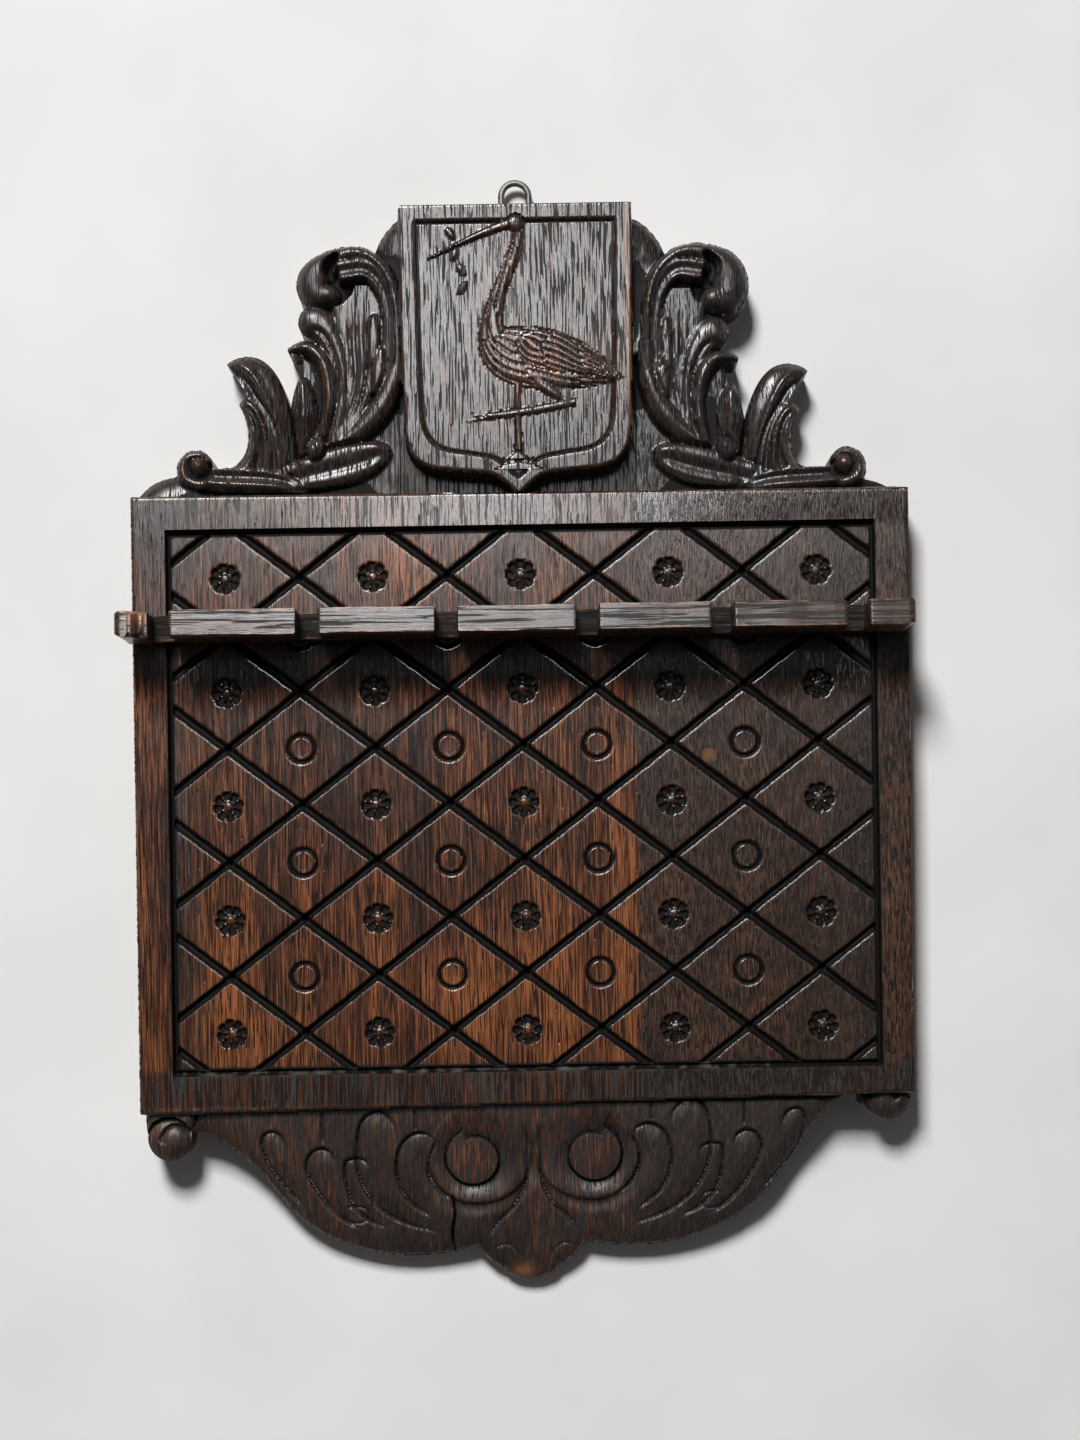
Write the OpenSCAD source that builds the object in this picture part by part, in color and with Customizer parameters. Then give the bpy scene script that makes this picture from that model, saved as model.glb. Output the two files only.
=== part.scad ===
// Carved oak spoon rack that hangs on a wall.
// +Z is up, +X is to the right seen from the front, and the front faces -Y.
// The flat back lies in the plane y = 0, with the origin behind the middle of the trellis.
// Pieces of the board are drawn lying on their back, x across, y up and z towards the viewer,
// and are then stood upright.

/* [Panel] */
// Width of the panel
panel_w = 300; // [270:1:330]
// Height of the panel between the crest and the apron
panel_h = 236.5; // [215:0.5:260]
// How much more of the panel lies above the origin than below it
panel_rise = 3; // [0:0.5:6]
// Thickness of the oak
board_t = 20; // [17:0.5:26]
// Place of the glued seam, to the right of the middle
seam_x = 44; // [43:0.5:52]

/* [Trellis] */
// Width of the plain border beside the trellis
border_side = 14.5; // [8:0.5:20]
// Height of the plain border above and below the trellis
border_end = 14.5; // [8:0.5:20]
// How far the trellis field lies below the border
field_sink = 1.5; // [0.5:0.1:2.5]
// Distance between columns of rosettes
column_pitch = 57.1; // [45:0.1:70]
// Distance between rows of rosettes
row_pitch = 44; // [36:0.1:55]
// Width of the V grooves
groove_w = 2.8; // [1.5:0.1:4]
// Depth of the V grooves
groove_d = 1.8; // [0.8:0.1:2.4]
// Diameter of a punched rosette
rosette_d = 12; // [8:0.5:16]
// Depth of a punched rosette
rosette_sink = 1.6; // [0.6:0.1:2.4]
// Outer diameter of a punched disc
disc_d = 11.6; // [8:0.2:16]
// Width of the ring that is punched round a disc
disc_ring = 1.3; // [0.8:0.1:2]
// Depth of the ring round a disc
disc_sink = 1.2; // [0.6:0.1:2]

/* [Crest] */
// Height of the shield's top edge above the panel
crest_h = 111; // [100:1:125]
// Half of the shield's width
shield_half = 45; // [45:0.5:54]
// Width of the shield's raised border
shield_border = 6.5; // [4:0.5:9]
// How far the shield's ground lies below its border
shield_sink = 2; // [1:0.1:3]
// How far the bird stands above the shield's border
bird_rise = 0.8; // [0.4:0.1:1.5]
// Depth of the crest's ground from the wall
crest_ground = 11.5; // [8:0.5:14]

/* [Apron] */
// Depth of the pendant's tip below the panel
apron_h = 70; // [60:1:82]
// How far the apron's face lies below the border at the panel's foot
apron_sink = 3; // [2.5:0.1:5]
// Thickness that the apron's hollow face leaves at the pendant's tip
apron_rim = 6.5; // [5:0.5:12]
// Depth of the cuts round the apron's lobes
apron_cut = 0.9; // [0.5:0.1:1.4]
// How far the left corner scroll hangs below the panel
left_drop = 20; // [12:0.5:26]
// How far the right corner scroll hangs below the panel
right_drop = 8; // [6:0.5:20]

/* [Rail] */
// Length of the rail
rail_l = 302; // [290:1:320]
// How far the rail is set to the left of the middle
rail_shift = 2; // [0:0.5:5]
// Height of the rail's section
rail_h = 10.5; // [8:0.5:16]
// How far the rail stands out from the panel
rail_d = 22; // [18:0.5:30]
// Distance from the panel's top edge down to the rail's top
rail_drop = 46.5; // [36:0.5:60]
// Rounding of the rail's front edges
rail_round = 1.6; // [0.5:0.1:3]
// Number of spoon slots
slot_count = 6; // [3:1:6]
// Distance between spoon slots
slot_pitch = 52.7; // [45:0.1:56]
// How far the row of slots is set to the left of the middle
slot_shift = 4.7; // [0:0.1:8]
// Width of a spoon slot
slot_w = 8.6; // [6:0.1:12]
// Oak left behind a spoon slot
slot_web = 5; // [4:0.5:8]

/* [Joinery] */
// Diameter of the dowels in the seam
dowel_d = 8; // [6:0.5:9]
// Length of the dowels in the seam
dowel_l = 40; // [24:1:60]
// Distance between the dowels
dowel_pitch = 70; // [50:1:90]
// Diameter of the rail screws
rail_screw_d = 4; // [3:0.1:5]
// Diameter of the rail screws' countersunk heads
rail_screw_head = 8; // [7:0.1:10]

/* [Hanger] */
// Diameter of the hanger's wire
wire_d = 2.5; // [2:0.1:3]
// Distance between the middles of the loop's legs
loop_w = 10.8; // [10:0.1:14]
// How far the loop stands above the shield
loop_rise = 15; // [10:0.5:20]
// Depth of the loop's bar below the shield's top edge
loop_drop = 15; // [12:0.5:22]
// Thickness of the hanger strap
strap_t = 1.2; // [0.8:0.1:1.6]
// Width of the hanger strap
strap_w = 8; // [6.5:0.1:8]
// Length of the strap below the loop's bar
strap_l = 22; // [20:0.5:30]
// Diameter of the hanger screws
hanger_screw_d = 2.8; // [2:0.1:3.2]
// Diameter of the hanger screws' heads
hanger_screw_head = 5.2; // [4.4:0.1:6]

/* [Clearances] */
// Radial clearance of a dowel or a screw in its hole
hole_clear = 0.05; // [0.02:0.01:0.1]
// Radial clearance of the loop's bar in its knuckle
bar_clear = 0.06; // [0.03:0.01:0.1]
// Gap at each end of a piece that is let into the oak
end_clear = 0.3; // [0.2:0.05:0.6]

/* [Hidden] */
$fn = 48;

oak_dark = "#3d2a20";
oak_red = "#4a2e21";
birch = "#b08d5f";
iron = "#4b4a48";

// Straight pieces that make up one drawn curve
curve_steps = 8;
// Overlap that lets a cut run clear of a face
over = 1;
// Number of petals in a rosette
petals = 8;
// How far below the border the line round the field is struck
border_lip = 0.4;
// Height of a flute's middle above its leaf, as a share of its radius
flute_lift = 0.45;
// How far the apron and the corner scrolls run up into the panel
apron_lap = 12;
// How much higher the apron's right side is drawn, for each unit away from the middle
right_slant = 0.065;
// How far a spiral's ring, and the disc in it, stand above the apron
ring_lift = 1.1;
eye_lift = 1.9;
// Spiral of the apron: its middle as drawn, the radii of disc, groove and ring, and the turn of the groove
spiral_eye = [22.5, 20.7];
eye_r = 9.4;
spiral_from = 10.2;
spiral_to = 17;
ring_r = 18.6;
spiral_turn = 420;

// Panel and field, measured from the origin
panel_top = panel_h / 2 + panel_rise / 2;
panel_bottom = panel_top - panel_h;
panel_half = panel_w / 2;
field_half = panel_half - border_side;
field_top = panel_top - border_end;
field_bottom = panel_bottom + border_end;
field_face = board_t - field_sink;
crest_top = panel_top + crest_h;

// Rail and its slots
rail_top = panel_top - rail_drop;
rail_mid = rail_top - rail_h / 2;
first_slot = -slot_shift - slot_pitch * (slot_count - 1) / 2;
// How far each slot was marked out to the right of even spacing
slot_wander = [0, 3.3, 3.1, 3.6, 1.7, 0];
slot_xs = [for (i = [0 : slot_count - 1]) first_slot + i * slot_pitch + slot_wander[i]];
screw_xs = [for (i = [0 : 2 : slot_count - 2]) (slot_xs[i] + slot_xs[i + 1]) / 2];
rail_screw_tip = board_t + rail_d - 8;

// Dowels
dowel_z = board_t / 2 - 1;
dowel_ys = [for (i = [-1 : 1]) i * dowel_pitch];

// Hanger, measured in the lying board
bar_y = crest_top - loop_drop;
knuckle_r = wire_d / 2 + bar_clear + strap_t;
pocket_d = 2 * knuckle_r + end_clear;
bar_z = pocket_d - knuckle_r;
bend_r = wire_d;
knuckle_half = loop_w / 2 - bend_r - end_clear;
pocket_half = loop_w / 2 + wire_d / 2 + 1.5;
pocket_foot = bar_y - strap_l - 2;
hanger_screw_ys = [bar_y - strap_l * 0.36, bar_y - strap_l * 0.78];
hanger_screw_tip = board_t - shield_sink - 4;
hanger_head_h = 1.8;

// The crest is drawn for a span of 106 between shield and corner, and a height of 111
crest_span = 106;
crest_rise = 111;
crest_x = (panel_half - shield_half + 1) / crest_span;
crest_y = crest_h / crest_rise;
// The apron is drawn for half a width of 150 and a depth of 70
apron_x = panel_half / 150;
apron_y = apron_h / 70;

function point(p, t) =
    let (s = 1 - t)
    s * s * s * p[0] + 3 * s * s * t * p[1] + 3 * s * t * t * p[2] + t * t * t * p[3];
function curve(p) = [for (i = [0 : curve_steps]) point(p, i / curve_steps)];
function tail(list) = [for (i = [1 : len(list) - 1]) list[i]];

// A crest point is drawn as its distance from the middle and its height above the panel
function on_crest(p, side) =
    [side * (shield_half - 1 + (p[0] - 44) * crest_x), panel_top + p[1] * crest_y];
// An apron point is drawn as its distance from the middle and its depth below the panel
function on_apron(p, side) =
    let (lift = side > 0 ? right_slant * p[0] : 0)
    [side * p[0] * apron_x, panel_bottom - (p[1] - lift) * apron_y];

// Circle through three points
function circle_centre(a, b, c) =
    let (d = 2 * (a[0] * (b[1] - c[1]) + b[0] * (c[1] - a[1]) + c[0] * (a[1] - b[1])))
    [(a * a * (b[1] - c[1]) + b * b * (c[1] - a[1]) + c * c * (a[1] - b[1])) / d,
     (a * a * (c[0] - b[0]) + b * b * (a[0] - c[0]) + c * c * (b[0] - a[0])) / d];
function turns_left(a, b, c) =
    (b[0] - a[0]) * (c[1] - b[1]) - (b[1] - a[1]) * (c[0] - b[0]) > 0;
function heading(p) = atan2(p[1], p[0]);

// Stands a lying piece upright, with its back against the wall
module stand() {
    rotate([90, 0, 0]) children();
}

// A crest leaf between an edge that runs out to its tip and an edge that runs back to its root,
// with a flute gouged along the three points of its vein
module leaf(side, top, shift, out, back, vein = [], vein_r = 1.6) {
    first = [for (p = curve(out)) on_crest(p + shift, side)];
    second = [for (p = tail(curve(back))) on_crest(p + shift, side)];
    difference() {
        linear_extrude(top) polygon(concat(first, second));
        if (len(vein) == 3)
            gouge([for (p = vein) on_crest(p + shift, side)], vein_r, top + vein_r * flute_lift);
    }
}

// A round-bottomed gouge cut along the arc through three points
module gouge(points, r, level) {
    centre = circle_centre(points[0], points[1], points[2]);
    left = turns_left(points[0], points[1], points[2]);
    from = (left ? points[0] : points[2]) - centre;
    to = (left ? points[2] : points[0]) - centre;
    sweep = (heading(to) - heading(from) + 720) % 360;
    translate([centre[0], centre[1], level])
        rotate([0, 0, heading(from)])
            rotate_extrude(angle = sweep, $fn = 64)
                translate([norm(from), 0])
                    circle(r, $fn = 24);
}

// Straight V groove through a point, at an angle, cut into a face at the given level
module v_groove(at, angle, length, level) {
    flare = groove_w / 2 * (1 + over / groove_d);
    translate([at[0], at[1], level])
        rotate([90, 0, 90 + angle])
            translate([0, 0, -length / 2])
                linear_extrude(length)
                    polygon([[0, -groove_d], [flare, over], [-flare, over]]);
}

// Trellis field: the sunk ground, its grooves, and the punched flowers and discs
module field_cut() {
    width = 2 * field_half;
    height = field_top - field_bottom;
    mid = (field_top + field_bottom) / 2;
    translate([-field_half, field_bottom, field_face])
        cube([width, height, field_sink + over]);
    for (y = [field_bottom, field_top]) v_groove([0, y], 0, width, board_t - border_lip);
    for (x = [-field_half, field_half]) v_groove([x, mid], 90, height, board_t - border_lip);
}

module trellis_cut(low, high) {
    from = max(low - over, -field_half);
    to = min(high + over, field_half);
    slope = atan2(row_pitch, column_pitch);
    lines = floor(field_half / column_pitch + field_top / row_pitch);
    intersection() {
        translate([from, field_bottom, field_face - groove_d - over])
            cube([to - from, field_top - field_bottom, groove_d + 2 * over]);
        for (way = [-1, 1])
            for (k = [-lines - 1 : lines])
                v_groove([(k + 0.5) * column_pitch, 0], way * slope, 2 * panel_w, field_face);
    }
}

module rosette_cut() {
    petal_r = rosette_d * 0.15;
    linear_extrude(rosette_sink + over)
        difference() {
            union() {
                circle(rosette_d / 2 - petal_r);
                for (k = [0 : petals - 1])
                    rotate(k * 360 / petals)
                        translate([rosette_d / 2 - petal_r, 0])
                            circle(petal_r, $fn = 24);
            }
            circle(rosette_d * 0.13, $fn = 24);
        }
}

module disc_cut() {
    linear_extrude(disc_sink + over)
        difference() {
            circle(disc_d / 2);
            circle(disc_d / 2 - disc_ring);
        }
}

module punched_cut(low, high) {
    columns = floor((field_half - rosette_d) / column_pitch);
    rows_up = floor((field_top - rosette_d) / row_pitch);
    rows_down = floor((-field_bottom - rosette_d) / row_pitch);
    for (i = [-columns : columns])
        for (j = [-rows_down : rows_up])
            if (i * column_pitch > low - rosette_d && i * column_pitch < high + rosette_d)
                translate([i * column_pitch, j * row_pitch, field_face - rosette_sink])
                    rosette_cut();
    for (i = [-columns : columns - 1])
        for (j = [-rows_down : rows_up - 1])
            if ((i + 0.5) * column_pitch > low - disc_d && (i + 0.5) * column_pitch < high + disc_d)
                translate([(i + 0.5) * column_pitch, (j + 0.5) * row_pitch,
                           field_face - disc_sink])
                    disc_cut();
}

// Acanthus crest beside the shield. Hand carving makes the right side sit a little differently,
// so each leaf has its own shift there.
module crest_side(side) {
    right = side > 0 ? 1 : 0;
    // Stem from the corner volute, and the long leaf that it carries
    leaf(side, 15.5, right * [2, -2.6],
         [[132, 9], [128, 1], [112, -0.5], [82, 1]], [[82, 1], [86, 10], [100, 12], [118.5, 11.5]]);
    leaf(side, 17, right * [2.5, -2.5],
         [[92, 2], [72, 2], [54, 5], [50.3, 18.5]], [[50.3, 18.5], [53, 24], [70, 22], [94, 10.5]],
         [[56, 18.5], [66, 12.5], [90, 7]], 2.2);
    // Five lobes that fan out from the stem, the outermost first
    leaf(side, 15, right * [1, -5],
         [[117.5, 11.3], [104, 12], [101.5, 27], [108.9, 36.5]],
         [[108.9, 36.5], [106, 43], [93, 40], [91, 10]], [[98, 13], [97, 26], [104, 37]], 2.4);
    leaf(side, 16.2, right * [0, -6],
         [[87, 10], [86, 40], [93, 62], [113.3, 52.3]],
         [[113.3, 52.3], [110, 46], [104, 40], [95, 10]], [[91.5, 22], [94, 40], [107, 51]], 2.4);
    leaf(side, 14.2, right * [-0.5, -5],
         [[81, 16], [78, 32], [80, 44], [84.2, 47.2]],
         [[84.2, 47.2], [86.5, 44], [89, 40], [91, 16]], [[84.5, 24], [83.2, 33], [84.2, 43]]);
    leaf(side, 17.2, right * [-3, -6],
         [[72, 16], [66, 50], [79, 68], [88.3, 57]],
         [[88.3, 57], [86, 51], [80, 52], [81, 16]], [[76.5, 22], [75, 40], [84, 57]], 2.4);
    leaf(side, 16, right * [-2.5, -6.5],
         [[64, 20], [62, 62], [74, 86], [84.9, 68]],
         [[84.9, 68], [85.5, 63], [76, 58], [72, 20]], [[68.5, 28], [69, 48], [79, 67]], 2.4);
    // Trunk and sliver in the hollow of the scroll
    leaf(side, 14, right * [2, -3],
         [[73, 18], [56, 45], [55, 68], [60, 81]], [[60, 81], [67, 72], [66, 50], [77, 19]],
         [[64, 32], [60.5, 52], [61, 74]]);
    leaf(side, 14.8, right * [2.5, -3],
         [[58, 42], [51.5, 52], [51.5, 66], [56, 70.5]], [[56, 70.5], [59, 66], [60, 50], [58, 43]]);
    // The long scroll that climbs the shield and rolls over into a ball
    leaf(side, 16.5, right * [3, -2.5],
         [[71, 20], [47, 24], [40, 48], [44.6, 66]], [[49.8, 66], [50, 48], [56, 36], [74, 23]],
         [[60, 27], [50.5, 42], [47.6, 60]], 1.4);
    leaf(side, 18, right * [4, -1.6],
         [[44.6, 60], [43.5, 84], [50, 97], [70, 97.4]], [[68, 90.5], [54, 92], [49.5, 80], [50.2, 60]],
         [[47.4, 66], [50, 84], [63, 93.5]], 1.4);
    crest_ball(side, [73, 85] + right * [4.8, -1.4]);
    crest_volute(side, [125.6, 12.2] + right * [2, -2.6]);
    // Ground behind the leaves and in the hollow, the shoulder, and the ear at the shield's corner
    leaf(side, crest_ground, right * [0, -3],
         [[38, -4], [38, 30], [38, 70], [38, 96]], [[76, 84], [80, 30], [92, 16], [128, -4]]);
    leaf(side, 12.5, right * [0, -5],
         [[112, 9], [138, 13.5], [147, 7], [150, -1]], [[150, -6], [140, -8], [130, -8], [112, -6]]);
    leaf(side, 13, right * [3.5, -2.5],
         [[38, 110.4], [47, 110.4], [54, 101], [55.5, 93]], [[56, 80], [52, 70], [46, 60], [38, 50]]);
}

// Domed ball at the end of the long scroll, with the curl that is cut into it
module crest_ball(side, at) {
    p = on_crest(at, side);
    r = 12.4;
    top = 19.2;
    crown = 3;
    dome_r = (r * r + crown * crown) / (2 * crown);
    difference() {
        intersection() {
            translate([p[0], p[1], 0]) cylinder(h = top, r = r);
            union() {
                translate([p[0], p[1], top - dome_r]) sphere(dome_r, $fn = 96);
                translate([p[0] - 2 * r, p[1] - 2 * r, -over]) cube([4 * r, 4 * r, top / 2]);
            }
        }
        gouge([for (d = [[-3, 8], [3, 1], [-4, -6]]) on_crest(at + d, side)], 1.6, top);
    }
    eye = on_crest(at + [-9, 1.2], side);
    translate([eye[0], eye[1], 0]) cylinder(h = 17.4, r = 4.4);
}

// Rolled end of the stem at the panel's corner
module crest_volute(side, at) {
    p = on_crest(at, side);
    top = 17.5;
    difference() {
        translate([p[0], p[1], 0]) cylinder(h = top, r = 6.7);
        gouge([for (d = [[-4.4, 3.8], [0.2, -2.5], [2.6, 2.2]]) on_crest(at + d, side)], 1, top);
    }
}

// Half of the shield's outline, from its top middle down to its point
function shield_half_outline(inset) =
    let (w = shield_half - inset, y = panel_top + inset)
    concat([[w, crest_top - inset], [w - 0.6, crest_top * 0.5 + y * 0.5]],
           curve([[w - 1.5, y + 25], [w - 2, y + 13], [w - 7, y + 9.6], [w - 18, y + 8.7]]),
           curve([[14, y + 7.6], [7, y + 7], [5, y + 3], [0, y - over]]));
module shield_outline(inset) {
    half = shield_half_outline(inset);
    polygon(concat(half, [for (i = [len(half) - 2 : -1 : 0]) [-half[i][0], half[i][1]]]));
}

module shield() {
    // Ground below the shield's point
    translate([-shield_half - over, panel_top - over, 0])
        cube([2 * (shield_half + over), crest_h / 2, crest_ground]);
    difference() {
        linear_extrude(board_t) shield_outline(0);
        translate([0, 0, board_t - shield_sink])
            linear_extrude(shield_sink + over) shield_outline(shield_border);
    }
    bird();
}

// Two edges, one drawn out and one drawn back, given from the panel's top edge
module bird_part(out, back, top) {
    base = board_t - shield_sink - over;
    rise = [0, panel_top];
    points = concat(curve(out), tail(curve(back)));
    translate([0, 0, base])
        linear_extrude(top - base) polygon([for (p = points) [p[0], p[1] * crest_y] + rise]);
}

// Long-legged wading bird on one leg, with a leafy sprig in its bill
module bird() {
    wing_top = board_t + bird_rise;
    body_top = wing_top - 0.5;
    leg_top = body_top - 0.3;
    foot_top = leg_top - 0.3;
    toe_top = foot_top - 0.1;
    // Body from the breast along the belly to the tail, and back over the shoulders
    bird_part([[-14.8, 62], [-17, 38], [8, 35], [43, 42.5]],
              [[43, 42.5], [26, 60], [12, 66], [-8, 63]], body_top);
    bird_part([[0, 60], [-4, 44], [14, 47], [40, 41.8]],
              [[40, 41.8], [24, 60], [12, 66], [0, 60]], wing_top);
    // Neck, head and bill
    bird_part([[-14.8, 58], [-14, 76], [-2, 88], [-1.2, 101]],
              [[3.6, 102], [5, 88], [-8, 78], [-4.5, 60]], body_top);
    translate([0.2, panel_top + 103.6 * crest_y, board_t - shield_sink - over])
        cylinder(h = body_top - board_t + shield_sink + over, r = 3.6);
    bird_part([[-2, 105], [-10, 103], [-22, 97], [-34, 90.5]],
              [[-33.6, 90], [-22, 95], [-10, 100.5], [-2, 102]], body_top);
    // Standing leg, and the mound that it stands on
    bird_part([[-1.4, 42], [-1.2, 32], [-1.2, 24], [-1.6, 14]],
              [[1.8, 14], [1.3, 24], [1.3, 32], [1.6, 42]], leg_top);
    bird_part([[-6, 12.6], [-3, 13.4], [-2, 15.4], [0, 16.2]],
              [[0, 16.2], [2, 15.4], [3, 13.4], [6, 12.6]], foot_top);
    // Raised thigh, shank and foot
    bird_part([[5, 43], [8, 38], [13, 36], [18, 34.4]],
              [[18, 34.4], [17, 38.5], [14, 41], [11, 43]], leg_top);
    bird_part([[22.5, 35.6], [12, 33.6], [0, 31.2], [-12, 30.2]],
              [[-12, 28.4], [0, 29], [12, 31], [22.5, 33.2]], foot_top);
    bird_part([[-9, 30.8], [-13, 30.6], [-17, 29.2], [-20, 26.6]],
              [[-20, 26.6], [-16, 26.2], [-12, 27.2], [-9, 27.8]], toe_top);
    // Sprig
    for (s = [[-25, 100, 35], [-23.5, 92, -20], [-21, 86, 30], [-20.6, 79, -30]])
        translate([s[0], panel_top + s[1] * crest_y, board_t - shield_sink - over])
            rotate([0, 0, s[2]])
                linear_extrude(body_top - 0.4 - board_t + shield_sink + over)
                    intersection() {
                        translate([3, 0]) circle(4.6);
                        translate([-3, 0]) circle(4.6);
                    }
}

// One side of the apron's outline, from the panel's corner to the pendant
function apron_half(side, drop) =
    let (lift = (left_drop - drop) / 2)
    [for (p = concat(
        curve([[131, 9 - lift], [114, 12 - lift], [103, 28], [95, 38.5]]),
        tail(curve([[95, 38.5], [82, 56], [52, 65], [21.5, 56.4]])),
        tail(curve([[21.5, 56.4], [18, 61], [14, 64.3], [11, 65.3]])),
        tail(curve([[11, 65.3], [9, 68.8], [5, 70], [0, 70]])))) on_apron(p, side)];

module apron_outline() {
    left = apron_half(-1, left_drop);
    right = apron_half(1, right_drop);
    top = panel_bottom + apron_lap;
    polygon(concat([[left[0][0], top]], left,
                   [for (i = [len(right) - 2 : -1 : 0]) right[i]], [[right[0][0], top]]));
}

// Everything behind the apron's hollow face, which thins the oak from the panel down to the pendant
module apron_hollow(lift) {
    steps = 6;
    sweep = 1.2;
    thick = board_t - apron_sink;
    drop = apron_h + over;
    top = panel_bottom + apron_lap + over;
    face = [for (i = [0 : steps])
            [panel_bottom - drop * i / steps, thick - (thick - apron_rim) * pow(i / steps, sweep) + lift]];
    translate([-panel_half, 0, 0])
        rotate([90, 0, 90])
            linear_extrude(panel_w)
                polygon(concat([[panel_bottom - drop, 0], [top, 0], [top, thick + lift]], face));
}

// A flat shape raised from the wall to the apron's face, or as far above the face as lift says
module apron_layer(lift) {
    intersection() {
        linear_extrude(board_t) children();
        apron_hollow(lift);
    }
}

// Pointed gouge cut along the arc through three points
module crescent(points, width) {
    steps = 10;
    centre = circle_centre(points[0], points[1], points[2]);
    left = turns_left(points[0], points[1], points[2]);
    from = (left ? points[0] : points[2]) - centre;
    to = (left ? points[2] : points[0]) - centre;
    sweep = (heading(to) - heading(from) + 720) % 360;
    function at(i, way) =
        let (a = heading(from) + sweep * i / steps)
        centre + (norm(from) + way * width / 2 * sin(180 * i / steps)) * [cos(a), sin(a)];
    polygon(concat([for (i = [0 : steps]) at(i, 1)], [for (i = [steps - 1 : -1 : 1]) at(i, -1)]));
}

// Groove that winds out of a spiral's disc, pointed at both ends
module spiral_cut(side, width) {
    steps = 36;
    start = 112;
    eye = on_apron(spiral_eye, side);
    function at(i, way) =
        let (t = i / steps, a = start - spiral_turn * t,
             r = spiral_from + (spiral_to - spiral_from) * pow(t, 1.4)
                 + way * width / 2 * min(1, 5 * t, 5 * (1 - t)))
        eye + r * [-side * cos(a), sin(a)];
    polygon(concat([for (i = [0 : steps]) at(i, 1)], [for (i = [steps - 1 : -1 : 1]) at(i, -1)]));
}

// Arches and sweeps of the lobes on one side, then the line along the lower edge and the rib of the pendant
apron_lobes = [[[36.5, 15], [43.5, 10.6], [51, 18]], [[52, 16], [50.5, 32], [38, 45]],
               [[51, 11], [58, 2.4], [66, 9]], [[67, 10], [62, 36], [38, 50.5]],
               [[61.5, 25.5], [66, 20.6], [71, 23]], [[72, 23], [67.5, 39], [55, 48.5]],
               [[75.5, 24], [81, 16.2], [86, 21]], [[87.5, 22], [80.5, 37], [67, 48.5]],
               [[93.5, 18], [99, 9.6], [103, 12]], [[104.5, 13], [97.5, 28], [86, 41]]];
apron_lines = [[[88, 41.5], [64, 54], [30, 55.6]], [[17, 55.5], [6, 41], [1.6, 24]]];

module apron_cuts(side) {
    for (lobe = apron_lobes) crescent([for (p = lobe) on_apron(p, side)], 2.2);
    for (line = apron_lines) crescent([for (p = line) on_apron(p, side)], 1.6);
    spiral_cut(side, 2);
}

module apron() {
    difference() {
        union() {
            apron_layer(0) apron_outline();
            for (side = [-1, 1]) {
                apron_layer(ring_lift) translate(on_apron(spiral_eye, side)) circle(ring_r);
                apron_layer(eye_lift) translate(on_apron(spiral_eye, side)) circle(eye_r);
            }
        }
        difference() {
            linear_extrude(board_t + over) for (side = [-1, 1]) apron_cuts(side);
            apron_hollow(-apron_cut);
        }
    }
}

// Scroll that hangs from a corner of the panel
module corner_scroll(side, drop) {
    r = 8;
    rim_t = board_t - 2.2;
    eye_t = board_t - 1;
    p = on_apron([139.5, 0], side);
    y = panel_bottom - drop + r;
    translate([p[0], y, 0]) cylinder(h = rim_t, r = r);
    translate([p[0] - r, y, 0]) cube([2 * r, panel_bottom - y + apron_lap, rim_t]);
    translate([p[0] - side * 1.5, y, 0]) cylinder(h = eye_t, r = 3.6);
}

// The whole carved board between two places across, on the named sides
module carved_board(sides, low, high) {
    difference() {
        union() {
            translate([-panel_half, panel_bottom, 0]) cube([panel_w, panel_h, board_t]);
            for (side = sides) crest_side(side);
            if (low < 0) shield();
            apron();
            if (low < 0) corner_scroll(-1, left_drop);
            if (high > seam_x) corner_scroll(1, right_drop);
        }
        field_cut();
        trellis_cut(low, high);
        punched_cut(low, high);
        dowel_holes();
        for (x = screw_xs) if (x > low && x < high) rail_screw_hole(x);
        if (low < 0) hanger_pocket();
    }
}

// Everything on one side of the glued seam
module seam_side(low, high) {
    reach = panel_w + crest_h + apron_h;
    translate([low, -reach, -over]) cube([high - low, 2 * reach, board_t + 2 * over + bird_rise]);
}

module dowel_holes() {
    for (y = dowel_ys)
        translate([seam_x, y, dowel_z])
            rotate([0, 90, 0])
                cylinder(h = dowel_l + 2 * end_clear, r = dowel_d / 2 + hole_clear, center = true);
}

module rail_screw_hole(x) {
    head_h = (rail_screw_head - rail_screw_d) / 2;
    translate([x, rail_mid, -over])
        cylinder(h = board_t + 2 * over, r = rail_screw_d / 2 + hole_clear);
    translate([x, rail_mid, -hole_clear])
        cylinder(h = head_h + 0.3, r1 = rail_screw_head / 2 + 0.3 + hole_clear,
                 r2 = rail_screw_d / 2 + hole_clear);
}

module hanger_pocket() {
    translate([-pocket_half, pocket_foot, -over])
        cube([2 * pocket_half, crest_top - pocket_foot + over, pocket_d + over]);
    for (y = hanger_screw_ys)
        translate([0, y, 0])
            cylinder(h = hanger_screw_tip + end_clear, r = hanger_screw_d / 2 + hole_clear);
}

module back_board_left() {
    color(oak_red)
        stand()
            intersection() {
                carved_board([-1], -panel_w, seam_x);
                seam_side(-panel_w, seam_x);
            }
}

module back_board_right() {
    color(oak_dark)
        stand()
            intersection() {
                carved_board([1], seam_x, panel_w);
                seam_side(seam_x, panel_w);
            }
}

module edge_dowels() {
    color(birch)
        stand()
            for (y = dowel_ys)
                translate([seam_x, y, dowel_z])
                    rotate([0, 90, 0])
                        cylinder(h = dowel_l, r = dowel_d / 2, center = true);
}

// Section of the rail, drawn with its back at x = 0
module rail_section() {
    square([rail_d - rail_round, rail_h]);
    translate([0, rail_round]) square([rail_d, rail_h - 2 * rail_round]);
    for (y = [rail_round, rail_h - rail_round])
        translate([rail_d - rail_round, y]) circle(rail_round, $fn = 24);
}

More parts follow.
